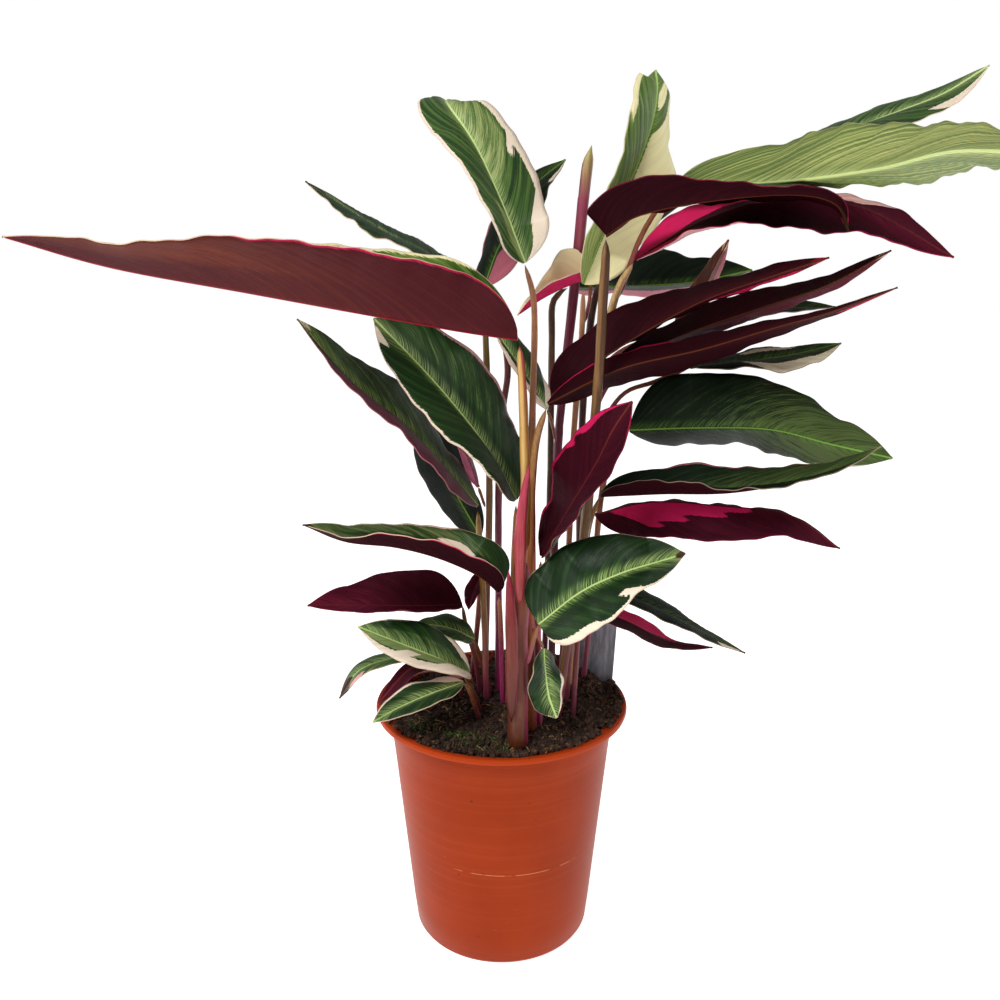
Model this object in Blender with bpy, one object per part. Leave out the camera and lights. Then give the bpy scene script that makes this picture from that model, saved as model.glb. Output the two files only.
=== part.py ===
"""A prayer plant with pink, cream and green leaves, growing in a round nursery pot.

Frame: metres, +Z up, the origin at the centre of the pot's underside, the front towards -Y.
Every leaf blade and every long leaf stalk is a piece of its own. Lengths in the tables are millimetres.
"""
from dataclasses import dataclass
from math import cos, exp, pi, sin

import bmesh
import bpy
import numpy as np
from mathutils import Vector

MM = 0.001

# Pot, a round nursery pot of the 17 cm size
POT_HEIGHT = 164.0
POT_RIM_RADIUS = 85.0
POT_NECK_RADIUS = 75.7
POT_BASE_RADIUS = 60.3
POT_FOOT_CHAMFER = 3.0
POT_WALL = 1.8
POT_LIP_DEPTH = 4.6
POT_LIP_INNER_RADIUS = 79.5
POT_FLOOR = 2.5
POT_SEGMENTS = 32

# Soil, filled nearly to the lip, with a heap at the back on the right
TOUCH_GAP = 0.3
SOIL_EDGE_HEIGHT = 159.0
SOIL_CROWN = 3.0
HEAP_PLACE = (58.0, 23.0)
HEAP_HEIGHT = 12.0
HEAP_SPREAD = 21.0
LUMP_HEIGHT = 0.5
SOIL_RINGS = 7
SOIL_SEGMENTS = 28

# Plant label, a bare tag pushed into the heap
LABEL_SIZE = (25.0, 1.0)
LABEL_FOOT = (66.0, 25.0)
LABEL_TOP = (69.0, 29.0, 213.0)

# Leaves and stalks
EYE = Vector((0.0, -608.0, 455.0))
TOWARDS = 1.0
AWAY = -1.0
BLADE_THICKNESS = 0.8
MIDRIB_THICKNESS = 1.3
BLADE_ARCH = 0.10
BLADE_ROWS = (0.0, 0.07, 0.19, 0.35, 0.52, 0.70, 0.87, 1.0)
BLADE_FOOT_WIDTH = 1.1
FOLD_DEPTH = 1.12
BLADE_TIP_WIDTH = 0.5
STALK_SIDES = 8
STALK_STEP = 32.0
FOOT_CLEARANCE = 0.4


@dataclass(frozen=True)
class Leaf:
    """One blade: its midrib, and how far each half reaches beside it as seen from EYE.

    left and right are the seen half widths at even stations between foot and tip, for someone who
    looks along the midrib from its foot. A negative one is a half that folds over the midrib. The
    rest of half_width leans towards EYE or away from it. A low foot is a blunt one. A short stalk is
    part of the leaf. It starts in the soil where rooted is true, and close to another stalk otherwise.
    """
    name: str
    finish: str
    midrib: tuple
    left: tuple
    right: tuple
    half_width: float
    left_lean: float
    right_lean: float
    underside_seen: bool = False
    foot: float = 0.7
    stalk: tuple = ()
    rooted: bool = True


@dataclass(frozen=True)
class Stalk:
    """A long stalk, cane, sheath or rolled leaf: points (x, y, z, radius) from its foot up."""
    name: str
    points: tuple
    finish: str = "ochre"
    in_soil: bool = True


LEAVES = (
    Leaf("leaf_far_left", "maroon", ((9, -62, 411), (-34, -75, 419), (-131, -95, 438), (-198, -105, 451),
         (-249, -110, 466)), (-31, -30, -24, -11), (38, 34, 26, 13), 44, TOWARDS, AWAY),
    Leaf("leaf_left_behind", "green", ((-15, 8, 439), (-45, 16, 456), (-84, 34, 476), (-127, 48, 504)),
         (2, 4, 3), (5, 6, 3), 28, TOWARDS, AWAY),
    Leaf("leaf_top_left", "green", ((14, -5, 453), (4, -9, 478), (-10, -8, 509), (-20, -3, 527),
         (-32, 8, 544), (-35, 40, 552)), (9, 10, 14, 17, 12), (23, 26, 24, 21, 12), 29, TOWARDS, AWAY),
    Leaf("leaf_behind_top_left", "green", ((-11, 6, 438), (-1, 20, 464), (18, 34, 497), (41, 44, 517)),
         (8, 11, 8), (16, 15, 6), 27, AWAY, TOWARDS),
    Leaf("leaf_tall_right", "cream", ((51, 8, 440), (64, 10, 474), (80, 12, 505), (91, 18, 534),
         (96, 32, 555), (99, 60, 573)), (8, 9, 12, 15, 11), (23, 28, 26, 13, 8), 30, TOWARDS, AWAY),
    Leaf("leaf_dark_crown", "maroon", ((59, -42, 468), (77, -50, 479), (114, -58, 486), (156, -62, 489),
         (179, -66, 484), (187, -67, 470)), (19, 14, 7, 4, 5), (1, 1, 2, 3, 3), 30, TOWARDS, AWAY,
         underside_seen=True, foot=0.12),
    Leaf("leaf_cream_low", "cream", ((57, 24, 443), (45, 19, 440), (27, 13, 432), (10, 9, 421)),
         (-5, -6, -4), (22, 11, 5), 14, TOWARDS, AWAY, foot=0.3, stalk=((52.6, 13.7, 415, 1.2),
         (56, 19, 430, 1.2)), rooted=False),
    Leaf("leaf_near_right", "green", ((101, -8, 494), (127, -20, 496), (156, -78, 495),
         (172, -145, 495), (183, -200, 497), (200, -262, 488)), (20, 25, 19, 10, 6), (3, 5, 9, 10, 6),
         32, AWAY, AWAY, stalk=((73.3, 8, 431.5, 1.5), (83, 4, 463, 1.6), (92, -3, 482, 1.6)),
         rooted=False),
    Leaf("leaf_long_maroon", "maroon", ((80, -14, 455), (116, -24, 476), (153, -34, 487),
         (200, -46, 483), (249, -60, 456)), (12, 4, 4, 7), (2, 11, 16, 9), 32, AWAY, TOWARDS,
         underside_seen=True),
    Leaf("leaf_far_right", "green", ((160, 22, 512), (202, 22, 528), (244, 24, 543), (272, 26, 554),
         (298, 28, 570)), (5, 6, 7, 5), (5, 6, 9, 8), 26, AWAY, TOWARDS),
    Leaf("leaf_fan_upper", "maroon", ((31, -14, 374), (54, -19, 392), (85, -27, 413), (118, -36, 432),
         (152, -44, 445), (183, -52, 456)), (18, 21, 14, 8, 6), (1, 1, 2, 3, 3), 26, AWAY, AWAY,
         underside_seen=True),
    Leaf("leaf_fan_middle", "maroon", ((69, -6, 391), (109, -14, 410), (154, -24, 427), (191, -32, 441),
         (222, -40, 460)), (9, 13, 10, 5), (5, 5, 5, 4), 20, AWAY, AWAY, underside_seen=True),
    Leaf("leaf_fan_lower", "maroon", ((28, -26, 370), (70, -36, 392), (116, -42, 404), (159, -50, 418),
         (184, -57, 426), (218, -64, 440)), (9, 9, 8, 5, 2), (8, 10, 8, 5, 2), 20, AWAY, AWAY,
         underside_seen=True),
    Leaf("leaf_striped", "brown", ((112, 12, 407), (122, 13, 426), (131, 15, 445), (142, 17, 467)),
         (8, 8, 5), (7, 7, 5), 18, AWAY, AWAY, underside_seen=True, stalk=((59.1, 31, 349.9, 1.3),
         (72, 24, 378, 1.3), (89, 18, 393, 1.3)), rooted=False),
    Leaf("leaf_back_dark", "dark", ((45, 34, 437), (78, 42, 438), (125, 48, 440), (167, 52, 448)),
         (14, 25, 16), (5, 7, 4), 34, AWAY, AWAY),
    Leaf("leaf_right_cream", "green", ((119, 2, 389), (151, 4, 392), (183, 8, 396),
         (217, 14, 403)), (4, 8, 5), (3, 9, 8), 24, AWAY, TOWARDS, stalk=((58, 31.3, 329.9, 1.4),
         (77, 17, 368, 1.4), (98, 10, 379, 1.4)), rooted=False),
    Leaf("leaf_behind_fan", "dark", ((122, 24, 411), (174, 27, 422), (217, 30, 425)), (8, 9, 6),
         (2, 2, 1), 20, AWAY, TOWARDS, stalk=((60.4, 31, 373.5, 1.3), (74, 28, 394, 1.3),
         (97, 26, 405, 1.3)), rooted=False),
    Leaf("leaf_large_right", "green", ((81, -4, 350), (124, -14, 353), (164, -26, 354), (198, -36, 347),
         (233, -44, 340)), (34, 34, 27, 16), (11, 10, 15, 13), 36, AWAY, AWAY,
         stalk=((57, 16, 162, 1.9), (62, 18, 228, 2), (66, 14, 300, 2), (72, 4, 338, 1.9))),
    Leaf("leaf_long_right", "green", ((62, -14, 309), (98, -26, 314), (137, -44, 319), (173, -64, 331),
         (195, -80, 344), (207, -90, 356)), (15, 19, 14, 10, 5), (-8, -7, -2, 1, 1), 22, AWAY, TOWARDS,
         stalk=((47, -23, 162, 1.8), (52, -4, 236, 1.9), (56, -8, 285, 1.9))),
    Leaf("leaf_hot_pink", "pink", ((61, 2, 293), (95, -9, 304), (136, -26, 306), (176, -38, 303),
         (205, -48, 285)), (1, 1, 1, 1), (21, 22, 20, 12), 27, AWAY, TOWARDS, underside_seen=True,
         stalk=((44, -3, 162, 1.8), (48, 2, 220, 1.9), (56, 2, 279, 1.9))),
    Leaf("leaf_centre_maroon", "maroon", ((24, -47, 280), (41, -54, 313), (55, -62, 341),
         (63, -68, 361), (73, -71, 378)), (13, 22, 21, 14), (2, 5, 7, 10), 31, AWAY, TOWARDS,
         underside_seen=True),
    Leaf("leaf_front", "green", ((22, -68, 244), (46, -76, 267), (68, -84, 281), (86, -92, 290),
         (101, -100, 298)), (26, 28, 23, 15), (21, 23, 19, 11), 28, AWAY, TOWARDS, foot=0.4,
         stalk=((15.5, -62.1, 214.5, 1.4), (19, -66, 233, 1.5)), rooted=False),
    Leaf("leaf_hanging", "green", ((26, -50, 221), (27, -53, 208), (29, -57, 193), (34, -62, 180)),
         (6, 11, 8), (7, 12, 11), 14, AWAY, TOWARDS, stalk=((18.5, -53.9, 236.2, 1.2),
         (22, -53, 230, 1.2)), rooted=False),
    Leaf("leaf_low_right", "dark", ((58, -22, 256), (91, -28, 243), (126, -33, 226), (155, -36, 212)),
         (8, 6, 2), (5, 4, 3), 20, AWAY, TOWARDS, stalk=((51.9, -17.3, 240.4, 1.2),
         (54, -19, 251, 1.2)), rooted=False),
    Leaf("leaf_low_maroon", "maroon", ((55, -6, 233), (83, -10, 223), (111, -13, 210),
         (139, -15, 207)), (6, 7, 2), (5, 5, 3), 18, AWAY, TOWARDS, underside_seen=True),
    Leaf("leaf_left_boat", "green", ((-2, -40, 254), (-14, -46, 267), (-37, -52, 280),
         (-63, -58, 289), (-92, -63, 294), (-116, -66, 305)), (-9, -9, -8, -6, -2), (23, 20, 15, 13, 9),
         25, TOWARDS, AWAY),
    Leaf("leaf_left_maroon", "maroon", ((-26, -3, 232), (-56, -16, 236), (-90, -28, 241),
         (-122, -36, 244)), (3, 3, 4), (24, 22, 13), 24, TOWARDS, AWAY, underside_seen=True,
         stalk=((-14, 10, 162, 1.6), (-18, 12, 187, 1.7), (-24, 10, 211, 1.6))),
    Leaf("leaf_small_maroon", "maroon", ((-12, 2, 254), (-18, 1, 242), (-22, 0, 228)), (5, 5, 3),
         (5, 6, 4), 9, AWAY, TOWARDS, underside_seen=True, stalk=((-13.5, -6.7, 272.7, 0.8),),
         rooted=False),
    Leaf("leaf_left_small_green", "green", ((-18, -6, 209), (-31, -9, 217), (-44, -11, 221),
         (-58, -13, 222)), (5, 7, 6), (8, 9, 5), 13, TOWARDS, AWAY, stalk=((-7, 10, 162, 1.8),
         (-12, 10, 181, 1.8))),
    Leaf("leaf_left_variegated", "green", ((-21, -26, 194), (-39, -39, 209), (-64, -44, 222),
         (-88, -54, 237)), (4, 10, 9), (15, 18, 12), 20, TOWARDS, AWAY, stalk=((-19, -3, 162, 1.8),
         (-20, -14, 179, 1.7))),
    Leaf("leaf_left_drooping", "green", ((-51, -4, 201), (-76, -9, 196), (-95, -13, 189),
         (-108, -16, 171)), (4, 4, 3), (5, 5, 4), 12, TOWARDS, AWAY, stalk=((-27, 7, 162, 1.4),
         (-31, 2, 184, 1.4), (-39, -2, 195, 1.3))),
    Leaf("leaf_lower_left", "green", ((-24, -45, 196), (-45, -52, 191), (-63, -60, 186),
         (-79, -68, 180)), (6, 7, 5), (8, 11, 8), 15, TOWARDS, AWAY, stalk=((-14, -23, 162, 1.7),
         (-20, -38, 186, 1.6))),
    Leaf("leaf_lower_left_folded", "maroon", ((-25, -19, 188), (-40, -23, 198), (-59, -27, 197),
         (-80, -31, 175)), (4, 5, 5), (4, 5, 4), 12, TOWARDS, AWAY, underside_seen=True,
         stalk=((-13, -12, 162, 1.2), (-19, -24, 181, 1.2))),
    Leaf("leaf_left_upper", "dark", ((-15, -18, 304), (-35, -24, 330), (-61, -32, 360),
         (-89, -40, 385), (-117, -48, 422)), (6, 5, 4, 2), (9, 15, 18, 10), 26, TOWARDS, AWAY),
    Leaf("leaf_left_large", "green", ((9, -26, 310), (-7, -32, 341), (-28, -36, 370),
         (-48, -39, 394), (-74, -42, 422)), (6, 13, 17, 14), (20, 28, 30, 23), 33, TOWARDS, AWAY),
    Leaf("leaf_left_shadow", "dark", ((-14, 6, 277), (-31, 8, 308), (-46, 9, 341), (-62, 8, 374)),
         (13, 16, 9), (12, 16, 12), 22, AWAY, AWAY, stalk=((-22, 21, 162, 1.8), (-15, 14, 230, 1.9))),
    Leaf("leaf_pink_strip", "pink", ((-15, 0, 312), (-21, -1, 330), (-29, -2, 350)), (4, 4, 3),
         (2, 2, 1), 8, AWAY, AWAY, stalk=((-10.7, 7.2, 296.5, 0.9),), rooted=False),
    Leaf("leaf_behind_stalks", "green", ((29, 6, 362), (18, 8, 379), (7, 10, 395), (-5, 12, 413)),
         (4, 4, 3), (9, 11, 10), 16, TOWARDS, AWAY, stalk=((36.3, 21.9, 336.8, 1.1),
         (33, 14, 351, 1.1)), rooted=False),
)
STALKS = (
    Stalk("cane_front", ((10, -61, 162, 6.6), (10, -56, 189, 6.4), (10, -55, 229, 6.2),
          (12, -56, 261, 5.2), (13, -57, 281, 4.2))),
    Stalk("sheath_front_lower", ((6, -66, 179, 1.4), (6, -66, 200, 3.6), (6, -66, 233, 3.8),
          (5, -64, 258, 2.8), (4, -62, 276, 0.9)), "magenta", False),
    Stalk("sheath_front_upper", ((11, -66, 255, 1.8), (11, -66, 277, 3.2), (11, -66, 302, 3.4),
          (13, -65, 323, 2.4), (16, -63, 341, 0.8)), "magenta", False),
    Stalk("stalk_far_left", ((13, -57, 284, 3.4), (14, -58, 318, 3), (13, -59, 354, 2.8),
          (12, -60, 380, 2.5), (10, -61, 408, 2)), "ochre", False),
    Stalk("stalk_fan_lower", ((20, -40, 162, 3), (18, -43, 224, 3), (18, -44, 277, 2.9),
          (18, -44, 321, 2.4), (21, -37, 350, 2.2), (27, -26, 367, 1.6))),
    Stalk("stalk_top_left", ((10, 1, 162, 2.2), (16, -34, 273, 2.3), (18, -30, 330, 2.2),
          (19, -22, 372, 2.1), (20, -14, 413, 1.9), (19, -9, 434, 1.8), (14, -6, 452, 1.4))),
    Stalk("stalk_dark_crown", ((36, -23, 162, 3), (46, -16, 234, 3), (53, -26, 297, 3),
          (55, -40, 356, 2.9), (57, -44, 398, 2.9), (58, -44, 432, 2.8), (59, -43, 454, 2.6),
          (59, -42, 466, 2))),
    Stalk("stalk_tall_right", ((41, 16, 162, 2), (45, 14, 258, 2), (47, 13, 341, 2), (50, 11, 393, 1.9),
          (51, 10, 418, 1.8), (51, 8, 437, 1.4))),
    Stalk("rolled_new_leaf", ((34, 10, 162, 2.2), (37, 26, 311, 2.4), (40, 26, 365, 2.6),
          (45, 26, 417, 2.8), (49, 26, 461, 3), (52, 26, 497, 3.1), (54, 26, 515, 2.8),
          (56, 26, 524, 0.5))),
    Stalk("stalk_long_maroon", ((49, 13, 162, 2.4), (55, 12, 287, 2.4), (61, 10, 367, 2.4),
          (67, 10, 412, 2.5), (72, 2, 437, 2.3), (79, -12, 453, 1.6))),
    Stalk("stalk_back_dark", ((30, 26, 162, 2), (33, 32, 309, 2.1), (33, 32, 364, 2.2),
          (33, 31, 404, 2.2), (33, 31, 426, 2.1), (38, 32, 434, 1.9), (43, 33, 437, 1.3))),
    Stalk("stalk_far_right", ((55, 40, 162, 2.4), (54, 34, 330, 2.4), (57, 30, 404, 2.4),
          (65, 28, 442, 2.3), (94, 26, 476, 2.2), (124, 24, 497, 1.9), (158, 22, 511, 1.3))),
    Stalk("stalk_behind_top_left", ((-12, 20, 162, 2.2), (-10, 16, 229, 2.2), (-8, 10, 301, 2.2),
          (-9, 8, 368, 2.1), (-10, 7, 406, 2), (-11, 6, 435, 1.4))),
    Stalk("stalk_left_behind", ((-2, 16, 162, 2.4), (-2, 22, 227, 2.4), (-2, 18, 299, 2.4),
          (0, 17, 353, 2.2), (4, 16, 386, 2.1), (-1, 15, 414, 1.9), (-10, 14, 436, 1.4))),
    Stalk("stalk_left_upper", ((-10, 1, 162, 2), (-12, 0, 235, 2.1), (-14, -12, 277, 2.1),
          (-15, -18, 301, 1.4))),
    Stalk("stalk_left_large", ((4, -6, 162, 2), (7, -24, 243, 1.9), (8, -26, 281, 1.7),
          (9, -26, 307, 1.2))),
    Stalk("stalk_left_boat", ((1, -4, 162, 1.7), (0, -16, 206, 1.7), (-1, -32, 240, 1.5),
          (-2, -39, 251, 1.1))),
    Stalk("stalk_centre_maroon", ((25, -32, 162, 2), (23, -40, 223, 2), (23, -43, 257, 1.9),
          (24, -46, 277, 1.3))),
)

# Colour, roughness of each finish
FINISHES = {
    "terracotta": ((0.42, 0.065, 0.022), 0.42),
    "soil": ((0.022, 0.011, 0.006), 0.95),
    "label": ((0.12, 0.12, 0.135), 0.6),
    "green": ((0.045, 0.12, 0.025), 0.4),
    "dark": ((0.012, 0.032, 0.012), 0.35),
    "maroon": ((0.055, 0.008, 0.014), 0.5),
    "cream": ((0.70, 0.62, 0.42), 0.5),
    "pink": ((0.42, 0.045, 0.13), 0.5),
    "ochre": ((0.32, 0.14, 0.035), 0.45),
    "magenta": ((0.16, 0.025, 0.06), 0.45),
    "brown": ((0.21, 0.055, 0.03), 0.5),
}


def material(finish):
    """The Principled material of a finish, made once."""
    found = bpy.data.materials.get(finish)
    if found:
        return found
    colour, roughness = FINISHES[finish]
    made = bpy.data.materials.new(finish)
    made.use_nodes = True
    shader = made.node_tree.nodes["Principled BSDF"]
    shader.inputs["Base Color"].default_value = (*colour, 1.0)
    shader.inputs["Roughness"].default_value = roughness
    shader.inputs["Metallic"].default_value = 0.0
    return made


def add_closed_piece(name, finish, points, faces):
    """Make an object of points in millimetres, with its faces turned outwards."""
    mesh = bpy.data.meshes.new(name)
    mesh.from_pydata([Vector(point) * MM for point in points], [], faces)
    shape = bmesh.new()
    shape.from_mesh(mesh)
    bmesh.ops.recalc_face_normals(shape, faces=shape.faces)
    bmesh.ops.triangulate(shape, faces=shape.faces)
    if shape.calc_volume(signed=True) < 0.0:
        bmesh.ops.reverse_faces(shape, faces=shape.faces)
    shape.to_mesh(mesh)
    shape.free()
    mesh.shade_smooth()
    mesh.set_sharp_from_angle(angle=pi / 4)
    mesh.materials.append(material(finish))
    piece = bpy.data.objects.new(name, mesh)
    bpy.context.scene.collection.objects.link(piece)
    return piece


def rings_to_faces(ring_count, ring_size):
    """Quads between rings of points that follow one another, with a cap at each end."""
    faces = []
    for ring in range(ring_count - 1):
        for step in range(ring_size):
            after = (step + 1) % ring_size
            low, high = ring * ring_size, (ring + 1) * ring_size
            faces.append((low + step, low + after, high + after, high + step))
    faces.append(tuple(range(ring_size)))
    faces.append(tuple(range((ring_count - 1) * ring_size, ring_count * ring_size)))
    return faces


def smooth_curve(points, fractions):
    """Points at the given fractions of the length of a smooth curve through the points."""
    knots = np.array(points, dtype=float)
    padded = np.vstack([2 * knots[0] - knots[1], knots, 2 * knots[-1] - knots[-2]])
    fine = []
    for span in range(len(knots) - 1):
        before, start, end, after = padded[span:span + 4]
        for u in np.linspace(0.0, 1.0, 16, endpoint=False):
            fine.append(0.5 * (2 * start + (end - before) * u
                               + (2 * before - 5 * start + 4 * end - after) * u ** 2
                               + (3 * start - before - 3 * end + after) * u ** 3))
    fine = np.vstack([fine, knots[-1]])
    steps = np.linalg.norm(np.diff(fine[:, :3], axis=0), axis=1)
    length = np.concatenate([[0.0], np.cumsum(steps)])
    wanted = np.asarray(fractions) * length[-1]
    return np.column_stack([np.interp(wanted, length, column) for column in fine.T])


def tangents(path):
    """Unit directions along a path of points."""
    ahead = np.gradient(path[:, :3], axis=0)
    return [Vector(direction).normalized() for direction in ahead]


def rounded_foot(fraction, bluntness):
    """Width of a blade near its foot, from 0 at the foot to 1."""
    return (1.0 - (1.0 - fraction) ** 2.2) ** bluntness


def pointed_tip(fraction):
    """Width of a blade near its tip, from 1 to 0 at the tip."""
    return 1.0 - fraction ** 1.6


def seen_width(stations, along, foot):
    """Half width at a fraction of the midrib, through evenly spaced stations."""
    gap = 1.0 / (len(stations) + 1)
    if along <= gap:
        return stations[0] * rounded_foot(along / gap, foot)
    if along >= 1.0 - gap:
        return stations[-1] * pointed_tip((along - 1.0 + gap) / gap)
    places = (along - gap) / (1.0 - 2 * gap)
    return float(smooth_values(stations, places))


def smooth_values(values, place):
    """Value at a place from 0 to 1 along evenly spaced values, with easing between them."""
    position = place * (len(values) - 1)
    first = min(int(position), len(values) - 2)
    u = position - first
    before = values[max(first - 1, 0)]
    start, end = values[first], values[first + 1]
    after = values[min(first + 2, len(values) - 1)]
    return 0.5 * (2 * start + (end - before) * u + (2 * before - 5 * start + 4 * end - after) * u ** 2
                  + (3 * start - before - 3 * end + after) * u ** 3)


def full_width(along, foot):
    """Share of the full half width at a fraction of the midrib."""
    if along < 0.35:
        return rounded_foot(along / 0.35, foot)
    if along > 0.5:
        return pointed_tip((along - 0.5) / 0.5)
    return 1.0


def blade_half(leaf, along, sideways, nearer, on_left):
    """Vector from the midrib to one edge of the blade."""
    stations, lean, side = leaf.right, leaf.right_lean, -1.0
    if on_left:
        stations, lean, side = leaf.left, leaf.left_lean, 1.0
    seen = seen_width(stations, along, leaf.foot)
    full = leaf.half_width * full_width(along, leaf.foot)
    if seen < 0.0:
        full = max(full, -FOLD_DEPTH * seen)
    depth = max(full * full - seen * seen, 0.0) ** 0.5
    least = BLADE_FOOT_WIDTH if along < 0.5 else BLADE_TIP_WIDTH
    half = side * seen * sideways + lean * depth * nearer
    if half.length < least:
        half = side * least * sideways
    return half


def blade_ring(leaf, point, along_midrib, along):
    """Eight points round a blade: one at each edge, three on the upper face, three on the underside."""
    centre = Vector(point)
    sight = (centre - EYE).normalized()
    sideways = along_midrib.cross(sight).normalized()
    nearer = along_midrib.cross(sideways).normalized()
    facing = -1.0 if leaf.underside_seen else 1.0
    left = blade_half(leaf, along, sideways, nearer, True)
    right = blade_half(leaf, along, sideways, nearer, False)
    left_up = facing * along_midrib.cross(left).normalized()
    right_up = facing * right.cross(along_midrib).normalized()
    up = (left_up + right_up).normalized()
    thin = min(1.0, 4.0 * min(along, 1.0 - along) + 0.35)
    folded = 0.5 + 0.5 * left.normalized().dot(right.normalized())
    arch = BLADE_ARCH * (1.0 - folded) ** 2
    ring = [centre + left]
    for face in (1.0, -1.0):
        skin = face * BLADE_THICKNESS / 2 * thin
        left_middle = centre + left / 2 + left_up * (skin + arch * left.length)
        right_middle = centre + right / 2 + right_up * (skin + arch * right.length)
        middle = centre + up * face * MIDRIB_THICKNESS / 2 * thin
        ring += [left_middle, middle, right_middle] if face > 0 else [right_middle, middle, left_middle]
        if face > 0:
            ring.append(centre + right)
    return ring


def round_ring(point, direction, radius, sides, facing=1.0):
    """Points round a stalk at one place."""
    centre = Vector(point)
    sight = (centre - EYE).normalized()
    sideways = direction.cross(sight).normalized()
    upwards = facing * direction.cross(sideways).normalized()
    turns = [2 * pi * step / sides for step in range(sides)]
    return [centre + radius * (cos(turn) * sideways + sin(turn) * upwards) for turn in turns]


def soil_height(x, y):
    """Height of the soil's surface at a place in the pot."""
    reach = (x * x + y * y) ** 0.5 / soil_radius(SOIL_EDGE_HEIGHT)
    away = ((x - HEAP_PLACE[0]) ** 2 + (y - HEAP_PLACE[1]) ** 2) / HEAP_SPREAD ** 2
    lumps = LUMP_HEIGHT * sin(0.31 * x + 0.9) * sin(0.27 * y + 0.4)
    rise = SOIL_CROWN * (1.0 - reach ** 2) + HEAP_HEIGHT * exp(-away) + lumps
    return SOIL_EDGE_HEIGHT + rise * (1.0 - reach ** 24)


def stand_on_soil(ring):
    """Lower or raise a stalk's first ring so that it just clears the soil."""
    height = max(soil_height(point.x, point.y) for point in ring) + FOOT_CLEARANCE
    return [Vector((point.x, point.y, height)) for point in ring]


def stalk_rings(points, sides, in_soil, facing=1.0, last=True):
    """Rings along a stalk. Without last, its end is left for what it carries."""
    knots = np.array(points, dtype=float)
    length = np.linalg.norm(np.diff(knots[:, :3], axis=0), axis=1).sum()
    count = max(3, round(length / STALK_STEP) + 1)
    path = smooth_curve(points, np.linspace(0.0, 1.0, count))
    directions = tangents(path)
    if in_soil:
        directions[0] = Vector((0, 0, 1))
    rings = [round_ring(row[:3], direction, float(row[3]), sides, facing)
             for row, direction in zip(path, directions)]
    if in_soil:
        rings[0] = stand_on_soil(rings[0])
    return rings if last else rings[:-1]


def add_leaf(leaf):
    """Make a blade, with its own short stalk where it has one."""
    path = smooth_curve(leaf.midrib, BLADE_ROWS)
    rings = []
    if leaf.stalk:
        foot = leaf.midrib[0] + (BLADE_FOOT_WIDTH,)
        facing = -1.0 if leaf.underside_seen else 1.0
        rings = stalk_rings(leaf.stalk + (foot,), STALK_SIDES, leaf.rooted, facing, last=False)
    for point, direction, along in zip(path, tangents(path), BLADE_ROWS):
        rings.append(blade_ring(leaf, point, direction, along))
    points = [point for ring in rings for point in ring]
    add_closed_piece(leaf.name, leaf.finish, points, rings_to_faces(len(rings), STALK_SIDES))


def add_stalk(stalk):
    """Make a stalk as a tapered tube."""
    rings = stalk_rings(stalk.points, STALK_SIDES, stalk.in_soil)
    points = [point for ring in rings for point in ring]
    add_closed_piece(stalk.name, stalk.finish, points, rings_to_faces(len(rings), STALK_SIDES))


def pot_wall_radius(height):
    """Outer radius of the pot's wall below its lip."""
    share = (height - POT_FOOT_CHAMFER) / (POT_HEIGHT - POT_LIP_DEPTH - POT_FOOT_CHAMFER)
    return POT_BASE_RADIUS + (POT_NECK_RADIUS - POT_BASE_RADIUS) * share


def soil_radius(height):
    """Radius of the soil where it meets the pot's wall."""
    return pot_wall_radius(height) - POT_WALL - TOUCH_GAP


def turned_rings(profile, segments):
    """Rings of points turned about the pot's axis from (radius, height) pairs."""
    rings = []
    for radius, height in profile:
        turns = [2 * pi * step / segments for step in range(segments)]
        rings.append([Vector((radius * cos(turn), radius * sin(turn), height)) for turn in turns])
    return rings


def add_pot():
    """Make the pot: a tapered wall with a chamfered foot and a flared lip, open at the top."""
    lip_low = POT_HEIGHT - POT_LIP_DEPTH
    inner_floor = pot_wall_radius(POT_FLOOR + 2.0) - POT_WALL
    profile = (
        (POT_BASE_RADIUS - POT_FOOT_CHAMFER, 0.0),
        (POT_BASE_RADIUS, POT_FOOT_CHAMFER),
        (POT_NECK_RADIUS, lip_low - 0.6),
        (POT_RIM_RADIUS - 0.9, lip_low),
        (POT_RIM_RADIUS, lip_low + 1.2),
        (POT_RIM_RADIUS, POT_HEIGHT - 1.2),
        (POT_RIM_RADIUS - 1.3, POT_HEIGHT),
        (POT_LIP_INNER_RADIUS, POT_HEIGHT - 0.4),
        (pot_wall_radius(SOIL_EDGE_HEIGHT) - POT_WALL, SOIL_EDGE_HEIGHT),
        (inner_floor, POT_FLOOR + 2.0),
        (inner_floor - 2.0, POT_FLOOR),
    )
    rings = turned_rings(profile, POT_SEGMENTS)
    points = [point for ring in rings for point in ring]
    add_closed_piece("pot", "terracotta", points, rings_to_faces(len(rings), POT_SEGMENTS))


def add_soil():
    """Make the soil: the pot's filling, with a crowned and heaped surface."""
    floor_radius = pot_wall_radius(POT_FLOOR + 2.0) - POT_WALL - TOUCH_GAP
    rings = turned_rings(((floor_radius - 2.2, POT_FLOOR + TOUCH_GAP),
                          (floor_radius, POT_FLOOR + 2.0 + TOUCH_GAP)), SOIL_SEGMENTS)
    edge = soil_radius(SOIL_EDGE_HEIGHT) * cos(pi / POT_SEGMENTS)
    for ring in range(SOIL_RINGS):
        radius = edge * (1.0 - ring / SOIL_RINGS)
        rings.append([Vector((point.x, point.y, soil_height(point.x, point.y)))
                      for point in turned_rings(((radius, 0.0),), SOIL_SEGMENTS)[0]])
    points = [point for ring in rings for point in ring]
    add_closed_piece("soil", "soil", points, rings_to_faces(len(rings), SOIL_SEGMENTS))


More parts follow.
